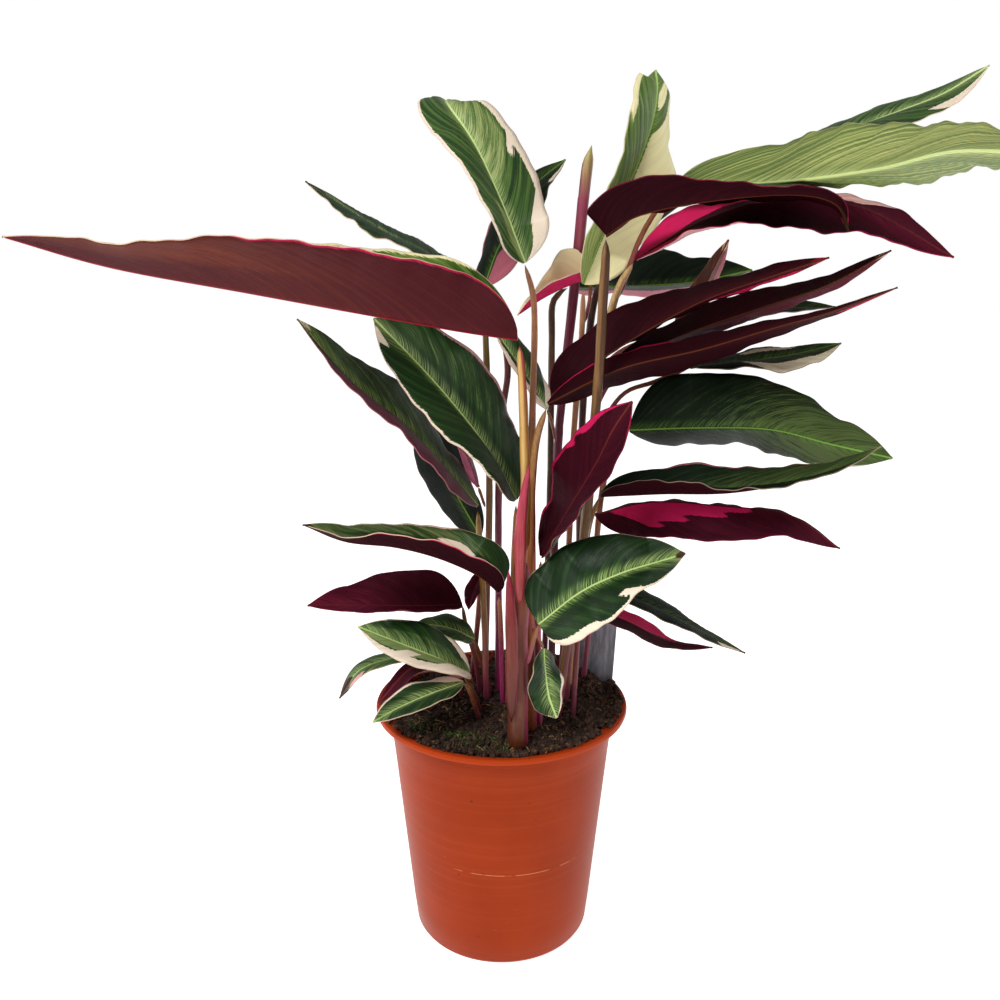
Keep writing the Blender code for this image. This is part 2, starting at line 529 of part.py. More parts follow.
def add_label():
    """Make the plant label: a thin bare tag that leans to the right."""
    width, thickness = LABEL_SIZE
    signs = ((-1, -1), (1, -1), (1, 1), (-1, 1))
    corners = [(side * width / 2, depth * thickness / 2) for side, depth in signs]
    foot = stand_on_soil([Vector((LABEL_FOOT[0] + x, LABEL_FOOT[1] + y, 0.0)) for x, y in corners])
    top = [Vector((LABEL_TOP[0] + x, LABEL_TOP[1] + y, LABEL_TOP[2])) for x, y in corners]
    add_closed_piece("plant_label", "label", foot + top, rings_to_faces(2, 4))


def main():
    """Clear the scene and build the plant in its pot."""
    for piece in list(bpy.data.objects):
        bpy.data.objects.remove(piece, do_unlink=True)
    add_pot()
    add_soil()
    add_label()
    for stalk in STALKS:
        add_stalk(stalk)
    for leaf in LEAVES:
        add_leaf(leaf)


main()
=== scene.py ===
"""The looks of a prayer plant with pink, cream and green leaves in a round nursery pot.

Frame: metres, +Z up, the origin at the centre of the pot's underside, the front towards -Y. Sizes in the
tables are millimetres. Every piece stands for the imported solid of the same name.
"""

import logging
import random
from dataclasses import dataclass
from enum import Enum
from math import cos, exp, hypot, pi, radians, sin
from typing import Callable, Sequence

import bpy
import numpy as np
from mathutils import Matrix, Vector, noise


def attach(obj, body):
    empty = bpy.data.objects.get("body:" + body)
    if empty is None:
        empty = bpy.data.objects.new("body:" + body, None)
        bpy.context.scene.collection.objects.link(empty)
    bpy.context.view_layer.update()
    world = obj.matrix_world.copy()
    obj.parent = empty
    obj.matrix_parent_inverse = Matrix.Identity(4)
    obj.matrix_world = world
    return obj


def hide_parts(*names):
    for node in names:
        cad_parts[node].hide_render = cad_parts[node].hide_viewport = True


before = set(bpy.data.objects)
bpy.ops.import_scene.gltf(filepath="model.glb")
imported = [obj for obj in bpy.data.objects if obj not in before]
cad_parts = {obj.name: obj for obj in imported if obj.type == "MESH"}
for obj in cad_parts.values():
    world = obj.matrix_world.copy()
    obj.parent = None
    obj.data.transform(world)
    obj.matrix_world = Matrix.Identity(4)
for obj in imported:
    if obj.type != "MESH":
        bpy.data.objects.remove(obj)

LOG = logging.getLogger("plant")
MM = 0.001
BODY = "root"

Colour = tuple[float, float, float]
Path = tuple[tuple[float, ...], ...]
Strand = tuple[list[Vector], float]

EYE = Vector((0.0, -608.0, 455.0))
TOWARDS = 1.0
AWAY = -1.0
LEFT = -1.0
RIGHT = 1.0
BOTH = 0.0


def srgb(red: float, green: float, blue: float) -> Colour:
    """Linear colour of an 8-bit screen colour."""
    return tuple((c / 255 / 12.92) if c <= 10 else ((c / 255 + 0.055) / 1.055) ** 2.4
                 for c in (red, green, blue))


class Field(Enum):
    """What a mark on a blade changes, as the channel of its attribute."""
    CREAM = 0
    BLUSH = 1
    TONE = 2
    DRY = 3


@dataclass(frozen=True)
class Mark:
    """A patch on one side of a blade, between two lateral veins and two distances from the midrib.

    side is LEFT, RIGHT or BOTH. start and end are where its veins leave the midrib, from 0 at the foot
    to 1 at the tip. inner and outer go from 0 at the midrib to 1 at the margin.
    """
    field: Field
    side: float
    start: float
    end: float
    inner: float = 0.0
    outer: float = 1.2
    amount: float = 1.0
    soft: float = 0.05


def cream(side: float, *rest: float) -> Mark:
    """A cream mark, with the rest of a Mark's numbers in order."""
    return Mark(Field.CREAM, side, *rest)


def blush(side: float, *rest: float) -> Mark:
    """A pink or red mark, with the rest of a Mark's numbers in order."""
    return Mark(Field.BLUSH, side, *rest)


def tone(side: float, *rest: float) -> Mark:
    """A lighter or darker mark, with the rest of a Mark's numbers in order."""
    return Mark(Field.TONE, side, *rest)


def dry(side: float, *rest: float) -> Mark:
    """A withered mark, with the rest of a Mark's numbers in order."""
    return Mark(Field.DRY, side, *rest)


@dataclass(frozen=True)
class Skin:
    """The finish of one face of a blade."""
    deep: Colour
    mid: Colour
    light: Colour
    rib: Colour
    edge: Colour
    cream: Colour
    blush: Colour
    rib_width: float = 0.55
    edge_width: float = 0.5
    feather: float = 0.6
    contrast: float = 0.5
    roughness: float = 0.38
    gloss: float = 0.2


class Face(Enum):
    """The skins that the plant's leaves wear."""
    GREEN = Skin(srgb(16, 38, 14), srgb(44, 76, 30), srgb(150, 168, 104), srgb(190, 216, 132),
            srgb(216, 186, 160), srgb(248, 232, 208), srgb(226, 160, 164), rib_width=0.8, feather=0.85,
            contrast=0.8)
    EDGED_GREEN = Skin(srgb(18, 36, 14), srgb(50, 78, 34), srgb(150, 168, 104), srgb(184, 212, 116),
            srgb(170, 110, 112), srgb(244, 228, 204), srgb(98, 26, 54), rib_width=0.8, feather=0.8,
            contrast=0.8)
    STRIPED_GREEN = Skin(srgb(30, 58, 24), srgb(88, 118, 54), srgb(176, 182, 120), srgb(206, 226, 150),
            srgb(236, 210, 190), srgb(248, 230, 206), srgb(214, 150, 152), rib_width=1.1, feather=0.8,
            contrast=1.0)
    SOFT_GREEN = Skin(srgb(92, 114, 58), srgb(164, 172, 98), srgb(220, 214, 146), srgb(206, 220, 144),
            srgb(206, 190, 150), srgb(230, 222, 196), srgb(206, 170, 160), rib_width=1.3, feather=0.9,
            contrast=1.5, roughness=0.45)
    CREAM_GREEN = Skin(srgb(44, 74, 22), srgb(104, 134, 54), srgb(176, 192, 116), srgb(180, 210, 120),
            srgb(232, 208, 180), srgb(255, 246, 186), srgb(196, 30, 84), rib_width=0.8, feather=0.7,
            contrast=1.2, gloss=0.08)
    NIGHT_GREEN = Skin(srgb(10, 17, 11), srgb(24, 38, 22), srgb(104, 122, 66), srgb(112, 148, 66),
            srgb(150, 130, 112), srgb(222, 208, 180), srgb(178, 96, 112), feather=0.5, roughness=0.5,
            gloss=0.06)
    MAROON = Skin(srgb(50, 10, 22), srgb(80, 18, 36), srgb(140, 40, 68), srgb(104, 38, 34),
            srgb(128, 26, 58), srgb(226, 178, 168), srgb(222, 34, 96), feather=0.12, contrast=0.35,
            roughness=0.58, gloss=0.05)
    BLACK_MAROON = Skin(srgb(30, 6, 12), srgb(56, 12, 22), srgb(116, 34, 54), srgb(92, 46, 26),
            srgb(112, 20, 48), srgb(224, 186, 170), srgb(206, 34, 84), feather=0.1, contrast=0.3,
            roughness=0.6, gloss=0.04)
    BROWN_MAROON = Skin(srgb(70, 16, 24), srgb(92, 35, 24), srgb(140, 66, 40), srgb(160, 28, 50),
            srgb(178, 40, 60), srgb(224, 176, 160), srgb(206, 34, 84), feather=0.15, contrast=0.45,
            roughness=0.5, gloss=0.1)
    STRIPED_BROWN = Skin(srgb(78, 38, 18), srgb(150, 64, 34), srgb(196, 96, 72), srgb(120, 44, 30),
            srgb(206, 110, 116), srgb(230, 196, 150), srgb(206, 98, 118), contrast=1.0)
    PINK = Skin(srgb(120, 40, 66), srgb(172, 84, 112), srgb(206, 130, 146), srgb(150, 60, 90),
            srgb(210, 150, 150), srgb(230, 190, 180), srgb(214, 90, 124), contrast=0.7)


@dataclass(frozen=True)
class Blade:
    """One leaf: its midrib, and how far each half reaches beside it as seen from EYE.

    left and right are the seen half widths at even stations between foot and tip, for someone who
    looks along the midrib from its foot. A negative one is a half that folds over the midrib. The
    rest of half_width leans towards EYE or away from it.
    """
    name: str
    upper: Face
    under: Face
    midrib: Path
    left: tuple[float, ...]
    right: tuple[float, ...]
    half_width: float
    left_lean: float
    right_lean: float
    underside_seen: bool = False
    foot: float = 0.7
    stalk: Path = ()
    rooted: bool = True
    marks: tuple[Mark, ...] = ()
    wave: float = 1.0
    stalk_colours: tuple[Colour, ...] = (srgb(126, 44, 76), srgb(132, 66, 50), srgb(140, 96, 50))


@dataclass(frozen=True)
class Stalk:
    """A long stalk, cane, sheath or rolled leaf, with its colours from its foot to its top.

    flank is the colour of a stripe along one side of it, and flank_turn the side, in turns from the
    right as the viewer sees it, anticlockwise from above.
    """
    name: str
    points: Path
    colours: tuple[Colour, ...]
    flank: Colour | None = None
    flank_turn: float = 0.0
    rooted: bool = True
    rolled: bool = False


BLADES = (
    Blade("leaf_far_left", Face.CREAM_GREEN, Face.BROWN_MAROON, ((9, -62, 411), (-34, -75, 419),
          (-131, -95, 438), (-198, -105, 451), (-249, -110, 466)), (-31, -30, -24, -11), (38, 34, 26, 13),
          44, TOWARDS, AWAY, marks=(blush(LEFT, -0.3, 0.3, 0.985),
          tone(LEFT, -0.4, 0.2, 0, 1.2, -0.6, 0.3), tone(LEFT, 0.3, 0.7, 0.4, 1.2, 0.7, 0.2),
          tone(LEFT, 0.6, 1.2, 0, 0.5, -0.4, 0.2), cream(RIGHT, -0.2, 0.9, 0.975),
          tone(RIGHT, -0.1, 1.1, 0, 1.2, 0.3)), wave=0.6),
    Blade("leaf_left_behind", Face.GREEN, Face.MAROON, ((-15, 8, 439), (-45, 16, 456), (-84, 34, 476),
          (-127, 48, 504)), (2, 4, 3), (5, 6, 3), 28, TOWARDS, AWAY, marks=(cream(RIGHT, 0.1, 0.9, 0.72),
          dry(BOTH, 0.86, 1.2)), wave=0.8),
    Blade("leaf_top_left", Face.STRIPED_GREEN, Face.MAROON, ((14, -5, 453), (4, -9, 478), (-10, -8, 509),
          (-20, -3, 527), (-32, 8, 544), (-35, 40, 552)), (9, 10, 14, 17, 12), (23, 26, 24, 21, 12), 29,
          TOWARDS, AWAY, marks=(cream(RIGHT, -0.3, 0.02, 0.5), cream(RIGHT, 0, 0.24, 0.84),
          cream(RIGHT, 0.2, 0.62, 0.78), cream(RIGHT, 0.26, 0.32, 0.55), cream(LEFT, -0.3, 0.8, 0.93),
          tone(RIGHT, 0.3, 0.95, 0, 0.75, 0.9), tone(LEFT, -0.2, 0.2, 0, 0.5, 1.2)), wave=0.5),
    Blade("leaf_behind_top_left", Face.NIGHT_GREEN, Face.MAROON, ((-11, 6, 438), (-1, 20, 464),
          (18, 34, 497), (41, 44, 517)), (8, 11, 8), (16, 15, 6), 27, AWAY, TOWARDS,
          marks=(blush(RIGHT, -0.3, 0.2, 0.15), tone(BOTH, 0.3, 1.1, 0, 1.2, 0.4),
          blush(LEFT, -0.2, 0.35, 0.85), cream(RIGHT, 0.5, 1, 0.8)), wave=0.6),
    Blade("leaf_tall_right", Face.CREAM_GREEN, Face.MAROON, ((51, 8, 440), (64, 10, 474), (80, 12, 505),
          (91, 18, 534), (96, 32, 555), (99, 60, 573)), (8, 9, 12, 15, 11), (23, 28, 26, 13, 8), 30,
          TOWARDS, AWAY, marks=(cream(RIGHT, -0.3, 0.6, 0.05), cream(RIGHT, 0.69, 0.8, 0.08),
          cream(LEFT, 0.3, 0.7, 0.86), tone(LEFT, 0.1, 0.9, 0, 1.2, 0.4),
          tone(LEFT, -0.3, 0.1, 0, 1.2, 1.2)), wave=0.5),
    Blade("leaf_dark_crown", Face.GREEN, Face.BLACK_MAROON, ((59, -42, 468), (77, -50, 479),
          (114, -58, 486), (156, -62, 489), (179, -66, 484), (187, -67, 470)), (19, 14, 7, 4, 5),
          (1, 1, 2, 3, 3), 30, TOWARDS, AWAY, underside_seen=True, foot=0.12,
          marks=(blush(BOTH, 0.84, 1.2, 0.82), dry(BOTH, 0.9, 1.2), tone(BOTH, 0.3, 0.8, 0, 1.2, 0.15)),
          wave=0.6),
    Blade("leaf_cream_low", Face.CREAM_GREEN, Face.MAROON, ((57, 24, 443), (45, 19, 440), (27, 13, 432),
          (10, 9, 421)), (-5, -6, -4), (22, 11, 5), 14, TOWARDS, AWAY, foot=0.3,
          stalk=((52.6, 13.7, 415, 1.2), (56, 19, 430, 1.2)), rooted=False,
          marks=(cream(BOTH, -0.5, 1.2, -0.2), blush(LEFT, -0.5, 1.2, -0.2)), wave=0.6),
    Blade("leaf_near_right", Face.SOFT_GREEN, Face.MAROON, ((101, -8, 494), (127, -20, 496),
          (156, -78, 495), (172, -145, 495), (183, -200, 497), (200, -262, 488)), (20, 25, 19, 10, 6),
          (3, 5, 9, 10, 6), 32, AWAY, AWAY, stalk=((73.3, 8, 431.5, 1.5), (83, 4, 463, 1.6),
          (92, -3, 482, 1.6)), rooted=False, marks=(tone(LEFT, 0.2, 0.9, 0.2, 1.2, 0.4),
          tone(RIGHT, 0.1, 0.7, 0, 1.2, -0.3)), wave=0.7),
    Blade("leaf_long_maroon", Face.GREEN, Face.MAROON, ((80, -14, 455), (116, -24, 476), (153, -34, 487),
          (200, -46, 483), (249, -60, 456)), (12, 4, 4, 7), (2, 11, 16, 9), 32, AWAY, TOWARDS,
          underside_seen=True, marks=(blush(BOTH, -0.3, 0.12, 0.1), cream(LEFT, 0.2, 0.5, 0.7),
          tone(BOTH, 0.6, 1.2, 0, 1.2, 0.7, 0.2), tone(BOTH, 0.1, 0.5, 0, 1.2, -0.4, 0.1),
          blush(RIGHT, 0.4, 1, 0.94)), wave=0.7),
    Blade("leaf_far_right", Face.STRIPED_GREEN, Face.MAROON, ((160, 22, 512), (202, 22, 528),
          (244, 24, 543), (272, 26, 554), (298, 28, 570)), (5, 6, 7, 5), (5, 6, 9, 8), 26, AWAY, TOWARDS,
          marks=(cream(RIGHT, 0.45, 1.1, 0.7), cream(LEFT, 0.3, 0.9, 0.9)), wave=0.5),
    Blade("leaf_fan_upper", Face.GREEN, Face.BLACK_MAROON, ((31, -14, 374), (54, -19, 392),
          (85, -27, 413), (118, -36, 432), (152, -44, 445), (183, -52, 456)), (18, 21, 14, 8, 6),
          (1, 1, 2, 3, 3), 26, AWAY, AWAY, underside_seen=True,
          marks=(tone(BOTH, 0.55, 1.2, 0, 1.2, 1, 0.3), blush(RIGHT, 0.45, 0.8, 0.5),
          blush(BOTH, 0.92, 1.2, 0.2)), wave=0.7),
    Blade("leaf_fan_middle", Face.GREEN, Face.BLACK_MAROON, ((69, -6, 391), (109, -14, 410),
          (154, -24, 427), (191, -32, 441), (222, -40, 460)), (9, 13, 10, 5), (5, 5, 5, 4), 20, AWAY,
          AWAY, underside_seen=True, marks=(tone(BOTH, 0.2, 1.2, 0, 1.2, 0.5, 0.3),
          tone(RIGHT, 0.3, 1, 0.2, 1.2, 0.8), cream(BOTH, 0.94, 1.2)), wave=0.7),
    Blade("leaf_fan_lower", Face.GREEN, Face.BLACK_MAROON, ((28, -26, 370), (70, -36, 392),
          (116, -42, 404), (159, -50, 418), (184, -57, 426), (218, -64, 440)), (9, 9, 8, 5, 2),
          (8, 10, 8, 5, 2), 20, AWAY, AWAY, underside_seen=True, marks=(blush(LEFT, -0.3, 0.12, 0.9),
          blush(RIGHT, 0.72, 1.1, 0.5), cream(LEFT, 0.74, 0.92, 0.8), tone(BOTH, 0.5, 1, 0, 1.2, 0.4)),
          wave=0.6),
    Blade("leaf_striped", Face.NIGHT_GREEN, Face.STRIPED_BROWN, ((112, 12, 407), (122, 13, 426),
          (131, 15, 445), (142, 17, 467)), (8, 8, 5), (7, 7, 5), 18, AWAY, AWAY, underside_seen=True,
          stalk=((59.1, 31, 349.9, 1.3), (72, 24, 378, 1.3), (89, 18, 393, 1.3)), rooted=False,
          marks=(tone(LEFT, -0.3, 1.2, 0, 1.2, -0.5), blush(RIGHT, -0.3, 1.2, 0.5),
          cream(BOTH, 0.88, 1.2)), wave=0.3),
    Blade("leaf_back_dark", Face.NIGHT_GREEN, Face.MAROON, ((45, 34, 437), (78, 42, 438), (125, 48, 440),
          (167, 52, 448)), (14, 25, 16), (5, 7, 4), 34, AWAY, AWAY,
          marks=(blush(RIGHT, -0.3, 0.6, 0.45),), wave=0.6),
    Blade("leaf_right_cream", Face.NIGHT_GREEN, Face.MAROON, ((119, 2, 389), (151, 4, 392), (183, 8, 396),
          (217, 14, 403)), (4, 8, 5), (3, 9, 8), 24, AWAY, TOWARDS, stalk=((58, 31.3, 329.9, 1.4),
          (77, 17, 368, 1.4), (98, 10, 379, 1.4)), rooted=False, marks=(cream(RIGHT, 0.1, 1.1, 0.62),
          cream(LEFT, 0.25, 0.6, 0.35, 0.6), tone(BOTH, 0.2, 1.1, 0, 1.2, 0.6)), wave=0.6),
    Blade("leaf_behind_fan", Face.NIGHT_GREEN, Face.MAROON, ((122, 24, 411), (174, 27, 422),
          (217, 30, 425)), (8, 9, 6), (2, 2, 1), 20, AWAY, TOWARDS, stalk=((60.4, 31, 373.5, 1.3),
          (74, 28, 394, 1.3), (97, 26, 405, 1.3)), rooted=False,
          marks=(tone(BOTH, 0.5, 1.2, 0, 1.2, 0.6),), wave=0.6),
    Blade("leaf_large_right", Face.NIGHT_GREEN, Face.MAROON, ((81, -4, 350), (124, -14, 353),
          (164, -26, 354), (198, -36, 347), (233, -44, 340)), (34, 34, 27, 16), (11, 10, 15, 13), 36,
          AWAY, AWAY, stalk=((57, 16, 162, 1.9), (62, 18, 228, 2), (66, 14, 300, 2), (72, 4, 338, 1.9)),
          marks=(tone(BOTH, 0.12, 0.75, 0, 1.2, 0.6, 0.25), tone(BOTH, 0.5, 1.2, 0, 1.2, 0.9, 0.25),
          cream(RIGHT, 0.45, 0.72, 0.9)), wave=0.7),
    Blade("leaf_long_right", Face.NIGHT_GREEN, Face.BLACK_MAROON, ((62, -14, 309), (98, -26, 314),
          (137, -44, 319), (173, -64, 331), (195, -80, 344), (207, -90, 356)), (15, 19, 14, 10, 5),
          (-8, -7, -2, 1, 1), 22, AWAY, TOWARDS, stalk=((47, -23, 162, 1.8), (52, -4, 236, 1.9),
          (56, -8, 285, 1.9)), marks=(tone(LEFT, 0.2, 1.2, 0, 1.2, 0.9, 0.3),
          blush(LEFT, -0.1, 0.5, 0.93), tone(RIGHT, 0.5, 1.2, 0, 1.2, 0.5)), wave=0.9),
    Blade("leaf_hot_pink", Face.GREEN, Face.MAROON, ((61, 2, 293), (95, -9, 304), (136, -26, 306),
          (176, -38, 303), (205, -48, 285)), (1, 1, 1, 1), (21, 22, 20, 12), 27, AWAY, TOWARDS,
          underside_seen=True, stalk=((44, -3, 162, 1.8), (48, 2, 220, 1.9), (56, 2, 279, 1.9)),
          marks=(blush(RIGHT, 0.05, 0.14, 0.1, 0.7), blush(RIGHT, 0.06, 0.3, -0.2, 0.52),
          blush(RIGHT, 0.26, 0.5, -0.2, 0.3), blush(RIGHT, 0.45, 0.62, -0.2, 0.14),
          tone(BOTH, 0.3, 1, 0, 1.2, 0.3)), wave=0.7),
    Blade("leaf_centre_maroon", Face.GREEN, Face.MAROON, ((24, -47, 280), (41, -54, 313), (55, -62, 341),
          (63, -68, 361), (73, -71, 378)), (13, 22, 21, 14), (2, 5, 7, 10), 31, AWAY, TOWARDS,
          underside_seen=True, marks=(blush(LEFT, -0.2, 0.7, 0.96), blush(LEFT, 0.3, 0.34, 0.8),
          blush(LEFT, 0.42, 0.95, 0.8), tone(BOTH, 0.2, 0.9, 0, 1.2, -0.1), blush(RIGHT, 0.55, 1, 0.9)),
          wave=0.7),
    Blade("leaf_front", Face.GREEN, Face.MAROON, ((22, -68, 244), (46, -76, 267), (68, -84, 281),
          (86, -92, 290), (101, -100, 298)), (26, 28, 23, 15), (21, 23, 19, 11), 28, AWAY, TOWARDS,
          foot=0.4, stalk=((15.5, -62.1, 214.5, 1.4), (19, -66, 233, 1.5)), rooted=False,
          marks=(cream(RIGHT, -0.4, 0.16, 0.84), cream(RIGHT, 0.1, 0.75, 0.93),
          tone(RIGHT, -0.1, 0.42, 0.5, 0.85, 0.5), cream(RIGHT, 0.42, 0.5, 0.6, 1.2, 0.8, 0.02),
          dry(BOTH, 0.93, 1.2), tone(BOTH, 0.1, 0.9, 0, 0.2, 0.5), tone(BOTH, -0.2, 1.2, 0.3, 1.2, -0.5)),
          wave=0.7),
    Blade("leaf_hanging", Face.GREEN, Face.MAROON, ((26, -50, 221), (27, -53, 208), (29, -57, 193),
          (34, -62, 180)), (6, 11, 8), (7, 12, 11), 14, AWAY, TOWARDS, stalk=((18.5, -53.9, 236.2, 1.2),
          (22, -53, 230, 1.2)), rooted=False, marks=(cream(LEFT, 0.15, 0.95, 0.78),
          tone(LEFT, 0.3, 0.8, 0.1, 0.8, 0.9), tone(BOTH, -0.1, 0.4, 0, 1.2, -0.4),
          cream(BOTH, 0.8, 1.2, 0.85)), wave=0.5),
    Blade("leaf_low_right", Face.NIGHT_GREEN, Face.BLACK_MAROON, ((58, -22, 256), (91, -28, 243),
          (126, -33, 226), (155, -36, 212)), (8, 6, 2), (5, 4, 3), 20, AWAY, TOWARDS,
          stalk=((51.9, -17.3, 240.4, 1.2), (54, -19, 251, 1.2)), rooted=False,
          marks=(cream(BOTH, 0.6, 1.2, 0.7), dry(BOTH, 0.9, 1.2), blush(LEFT, 0, 0.5, 0.85)), wave=0.6),
    Blade("leaf_low_maroon", Face.GREEN, Face.MAROON, ((55, -6, 233), (83, -10, 223), (111, -13, 210),
          (139, -15, 207)), (6, 7, 2), (5, 5, 3), 18, AWAY, TOWARDS, underside_seen=True,
          marks=(blush(LEFT, -0.2, 0.5, 0.15), tone(BOTH, 0.5, 1.2, 0, 1.2, 0.4)), wave=0.6),
    Blade("leaf_left_boat", Face.GREEN, Face.BLACK_MAROON, ((-2, -40, 254), (-14, -46, 267),
          (-37, -52, 280), (-63, -58, 289), (-92, -63, 294), (-116, -66, 305)), (-9, -9, -8, -6, -2),
          (23, 20, 15, 13, 9), 25, TOWARDS, AWAY, marks=(cream(RIGHT, 0.1, 0.24, 0.35, 0.62),
          tone(RIGHT, 0, 0.8, 0.5, 1.2, 0.8), dry(BOTH, 0.92, 1.2), cream(RIGHT, 0, 0.8, 0.93),
          blush(LEFT, -0.1, 0.5, 0.9)), wave=0.7),
    Blade("leaf_left_maroon", Face.GREEN, Face.MAROON, ((-26, -3, 232), (-56, -16, 236), (-90, -28, 241),
          (-122, -36, 244)), (3, 3, 4), (24, 22, 13), 24, TOWARDS, AWAY, underside_seen=True,
          stalk=((-14, 10, 162, 1.6), (-18, 12, 187, 1.7), (-24, 10, 211, 1.6)),
          marks=(tone(BOTH, 0.45, 1.2, 0, 1.2, 0.9, 0.3),), wave=0.6),
    Blade("leaf_small_maroon", Face.GREEN, Face.MAROON, ((-12, 2, 254), (-18, 1, 242), (-22, 0, 228)),
          (5, 5, 3), (5, 6, 4), 9, AWAY, TOWARDS, underside_seen=True, stalk=((-13.5, -6.7, 272.7, 0.8),),
          rooted=False, marks=(blush(BOTH, 0.5, 1.1, 0.85),), wave=0.4),
    Blade("leaf_left_small_green", Face.GREEN, Face.MAROON, ((-18, -6, 209), (-31, -9, 217),
          (-44, -11, 221), (-58, -13, 222)), (5, 7, 6), (8, 9, 5), 13, TOWARDS, AWAY,
          stalk=((-7, 10, 162, 1.8), (-12, 10, 181, 1.8)), marks=(tone(BOTH, 0, 1, 0, 1.2, 0.3),
          cream(LEFT, 0.2, 1, 0.85)), wave=0.5),
    Blade("leaf_left_variegated", Face.GREEN, Face.MAROON, ((-21, -26, 194), (-39, -39, 209),
          (-64, -44, 222), (-88, -54, 237)), (4, 10, 9), (15, 18, 12), 20, TOWARDS, AWAY,
          stalk=((-19, -3, 162, 1.8), (-20, -14, 179, 1.7)), marks=(cream(LEFT, -0.3, 0.2, 0.35),
          cream(LEFT, 0.1, 0.95, 0.66), cream(LEFT, 0.4, 0.52, 0.3, 0.7),
          tone(LEFT, 0.1, 0.9, 0, 0.6, 1.6), cream(RIGHT, -0.3, 0, 0.5), cream(RIGHT, 0.3, 0.9, 0.93),
          tone(RIGHT, 0.1, 0.9, 0, 0.5, 0.7)), wave=0.6),
    Blade("leaf_left_drooping", Face.GREEN, Face.MAROON, ((-51, -4, 201), (-76, -9, 196), (-95, -13, 189),
          (-108, -16, 171)), (4, 4, 3), (5, 5, 4), 12, TOWARDS, AWAY, stalk=((-27, 7, 162, 1.4),
          (-31, 2, 184, 1.4), (-39, -2, 195, 1.3)), marks=(tone(BOTH, -0.2, 0.7, 0, 1.2, 0.7),
          dry(BOTH, 0.74, 1.2), blush(LEFT, 0.4, 0.7, 0.7)), wave=0.6),
    Blade("leaf_lower_left", Face.GREEN, Face.MAROON, ((-24, -45, 196), (-45, -52, 191), (-63, -60, 186),
          (-79, -68, 180)), (6, 7, 5), (8, 11, 8), 15, TOWARDS, AWAY, stalk=((-14, -23, 162, 1.7),
          (-20, -38, 186, 1.6)), marks=(cream(RIGHT, -0.3, 1, 0.84), tone(BOTH, 0, 0.9, 0, 0.35, 0.6),
          cream(RIGHT, -0.3, 0.1, 0.3)), wave=0.6),
    Blade("leaf_lower_left_folded", Face.GREEN, Face.MAROON, ((-25, -19, 188), (-40, -23, 198),
          (-59, -27, 197), (-80, -31, 175)), (4, 5, 5), (4, 5, 4), 12, TOWARDS, AWAY, underside_seen=True,
          stalk=((-13, -12, 162, 1.2), (-19, -24, 181, 1.2)), marks=(cream(BOTH, -0.4, 0.25, 0.1),),
          wave=0.5),
    Blade("leaf_left_upper", Face.EDGED_GREEN, Face.MAROON, ((-15, -18, 304), (-35, -24, 330),
          (-61, -32, 360), (-89, -40, 385), (-117, -48, 422)), (6, 5, 4, 2), (9, 15, 18, 10), 26, TOWARDS,
          AWAY, marks=(tone(RIGHT, 0.25, 0.9, 0.1, 0.9, 0.5), blush(LEFT, -0.3, 0.6, 0.25),
          blush(LEFT, 0.5, 0.8, 0.8), cream(RIGHT, 0.9, 1.2, 0.3), blush(RIGHT, -0.3, -0.06, 0.2)),
          wave=0.7),
    Blade("leaf_left_large", Face.GREEN, Face.MAROON, ((9, -26, 310), (-7, -32, 341), (-28, -36, 370),
          (-48, -39, 394), (-74, -42, 422)), (6, 13, 17, 14), (20, 28, 30, 23), 33, TOWARDS, AWAY,
          marks=(tone(RIGHT, 0.1, 0.8, 0.3, 0.8, 0.5), cream(LEFT, 0.74, 0.92, 0.45),
          cream(LEFT, -0.1, 0.8, 0.975), blush(RIGHT, -0.1, 0.8, 0.95),
          tone(BOTH, -0.1, 0.2, 0, 1.2, -0.4)), wave=0.7),
    Blade("leaf_left_shadow", Face.NIGHT_GREEN, Face.MAROON, ((-14, 6, 277), (-31, 8, 308), (-46, 9, 341),
          (-62, 8, 374)), (13, 16, 9), (12, 16, 12), 22, AWAY, AWAY, stalk=((-22, 21, 162, 1.8),
          (-15, 14, 230, 1.9)), marks=(tone(BOTH, -0.2, 1.2, 0, 1.2, -0.6),), wave=0.7),
    Blade("leaf_pink_strip", Face.PINK, Face.PINK, ((-15, 0, 312), (-21, -1, 330), (-29, -2, 350)),
          (4, 4, 3), (2, 2, 1), 8, AWAY, AWAY, stalk=((-10.7, 7.2, 296.5, 0.9),), rooted=False, wave=0.3),
    Blade("leaf_behind_stalks", Face.GREEN, Face.MAROON, ((29, 6, 362), (18, 8, 379), (7, 10, 395),
          (-5, 12, 413)), (4, 4, 3), (9, 11, 10), 16, TOWARDS, AWAY, stalk=((36.3, 21.9, 336.8, 1.1),
          (33, 14, 351, 1.1)), rooted=False, marks=(cream(LEFT, -0.3, 1.1, 0.72),
          cream(BOTH, -0.3, 0.05, 0.1), tone(BOTH, 0.2, 1, 0, 0.4, 0.5)), wave=0.5),
)

MAGENTA = srgb(150, 48, 92)

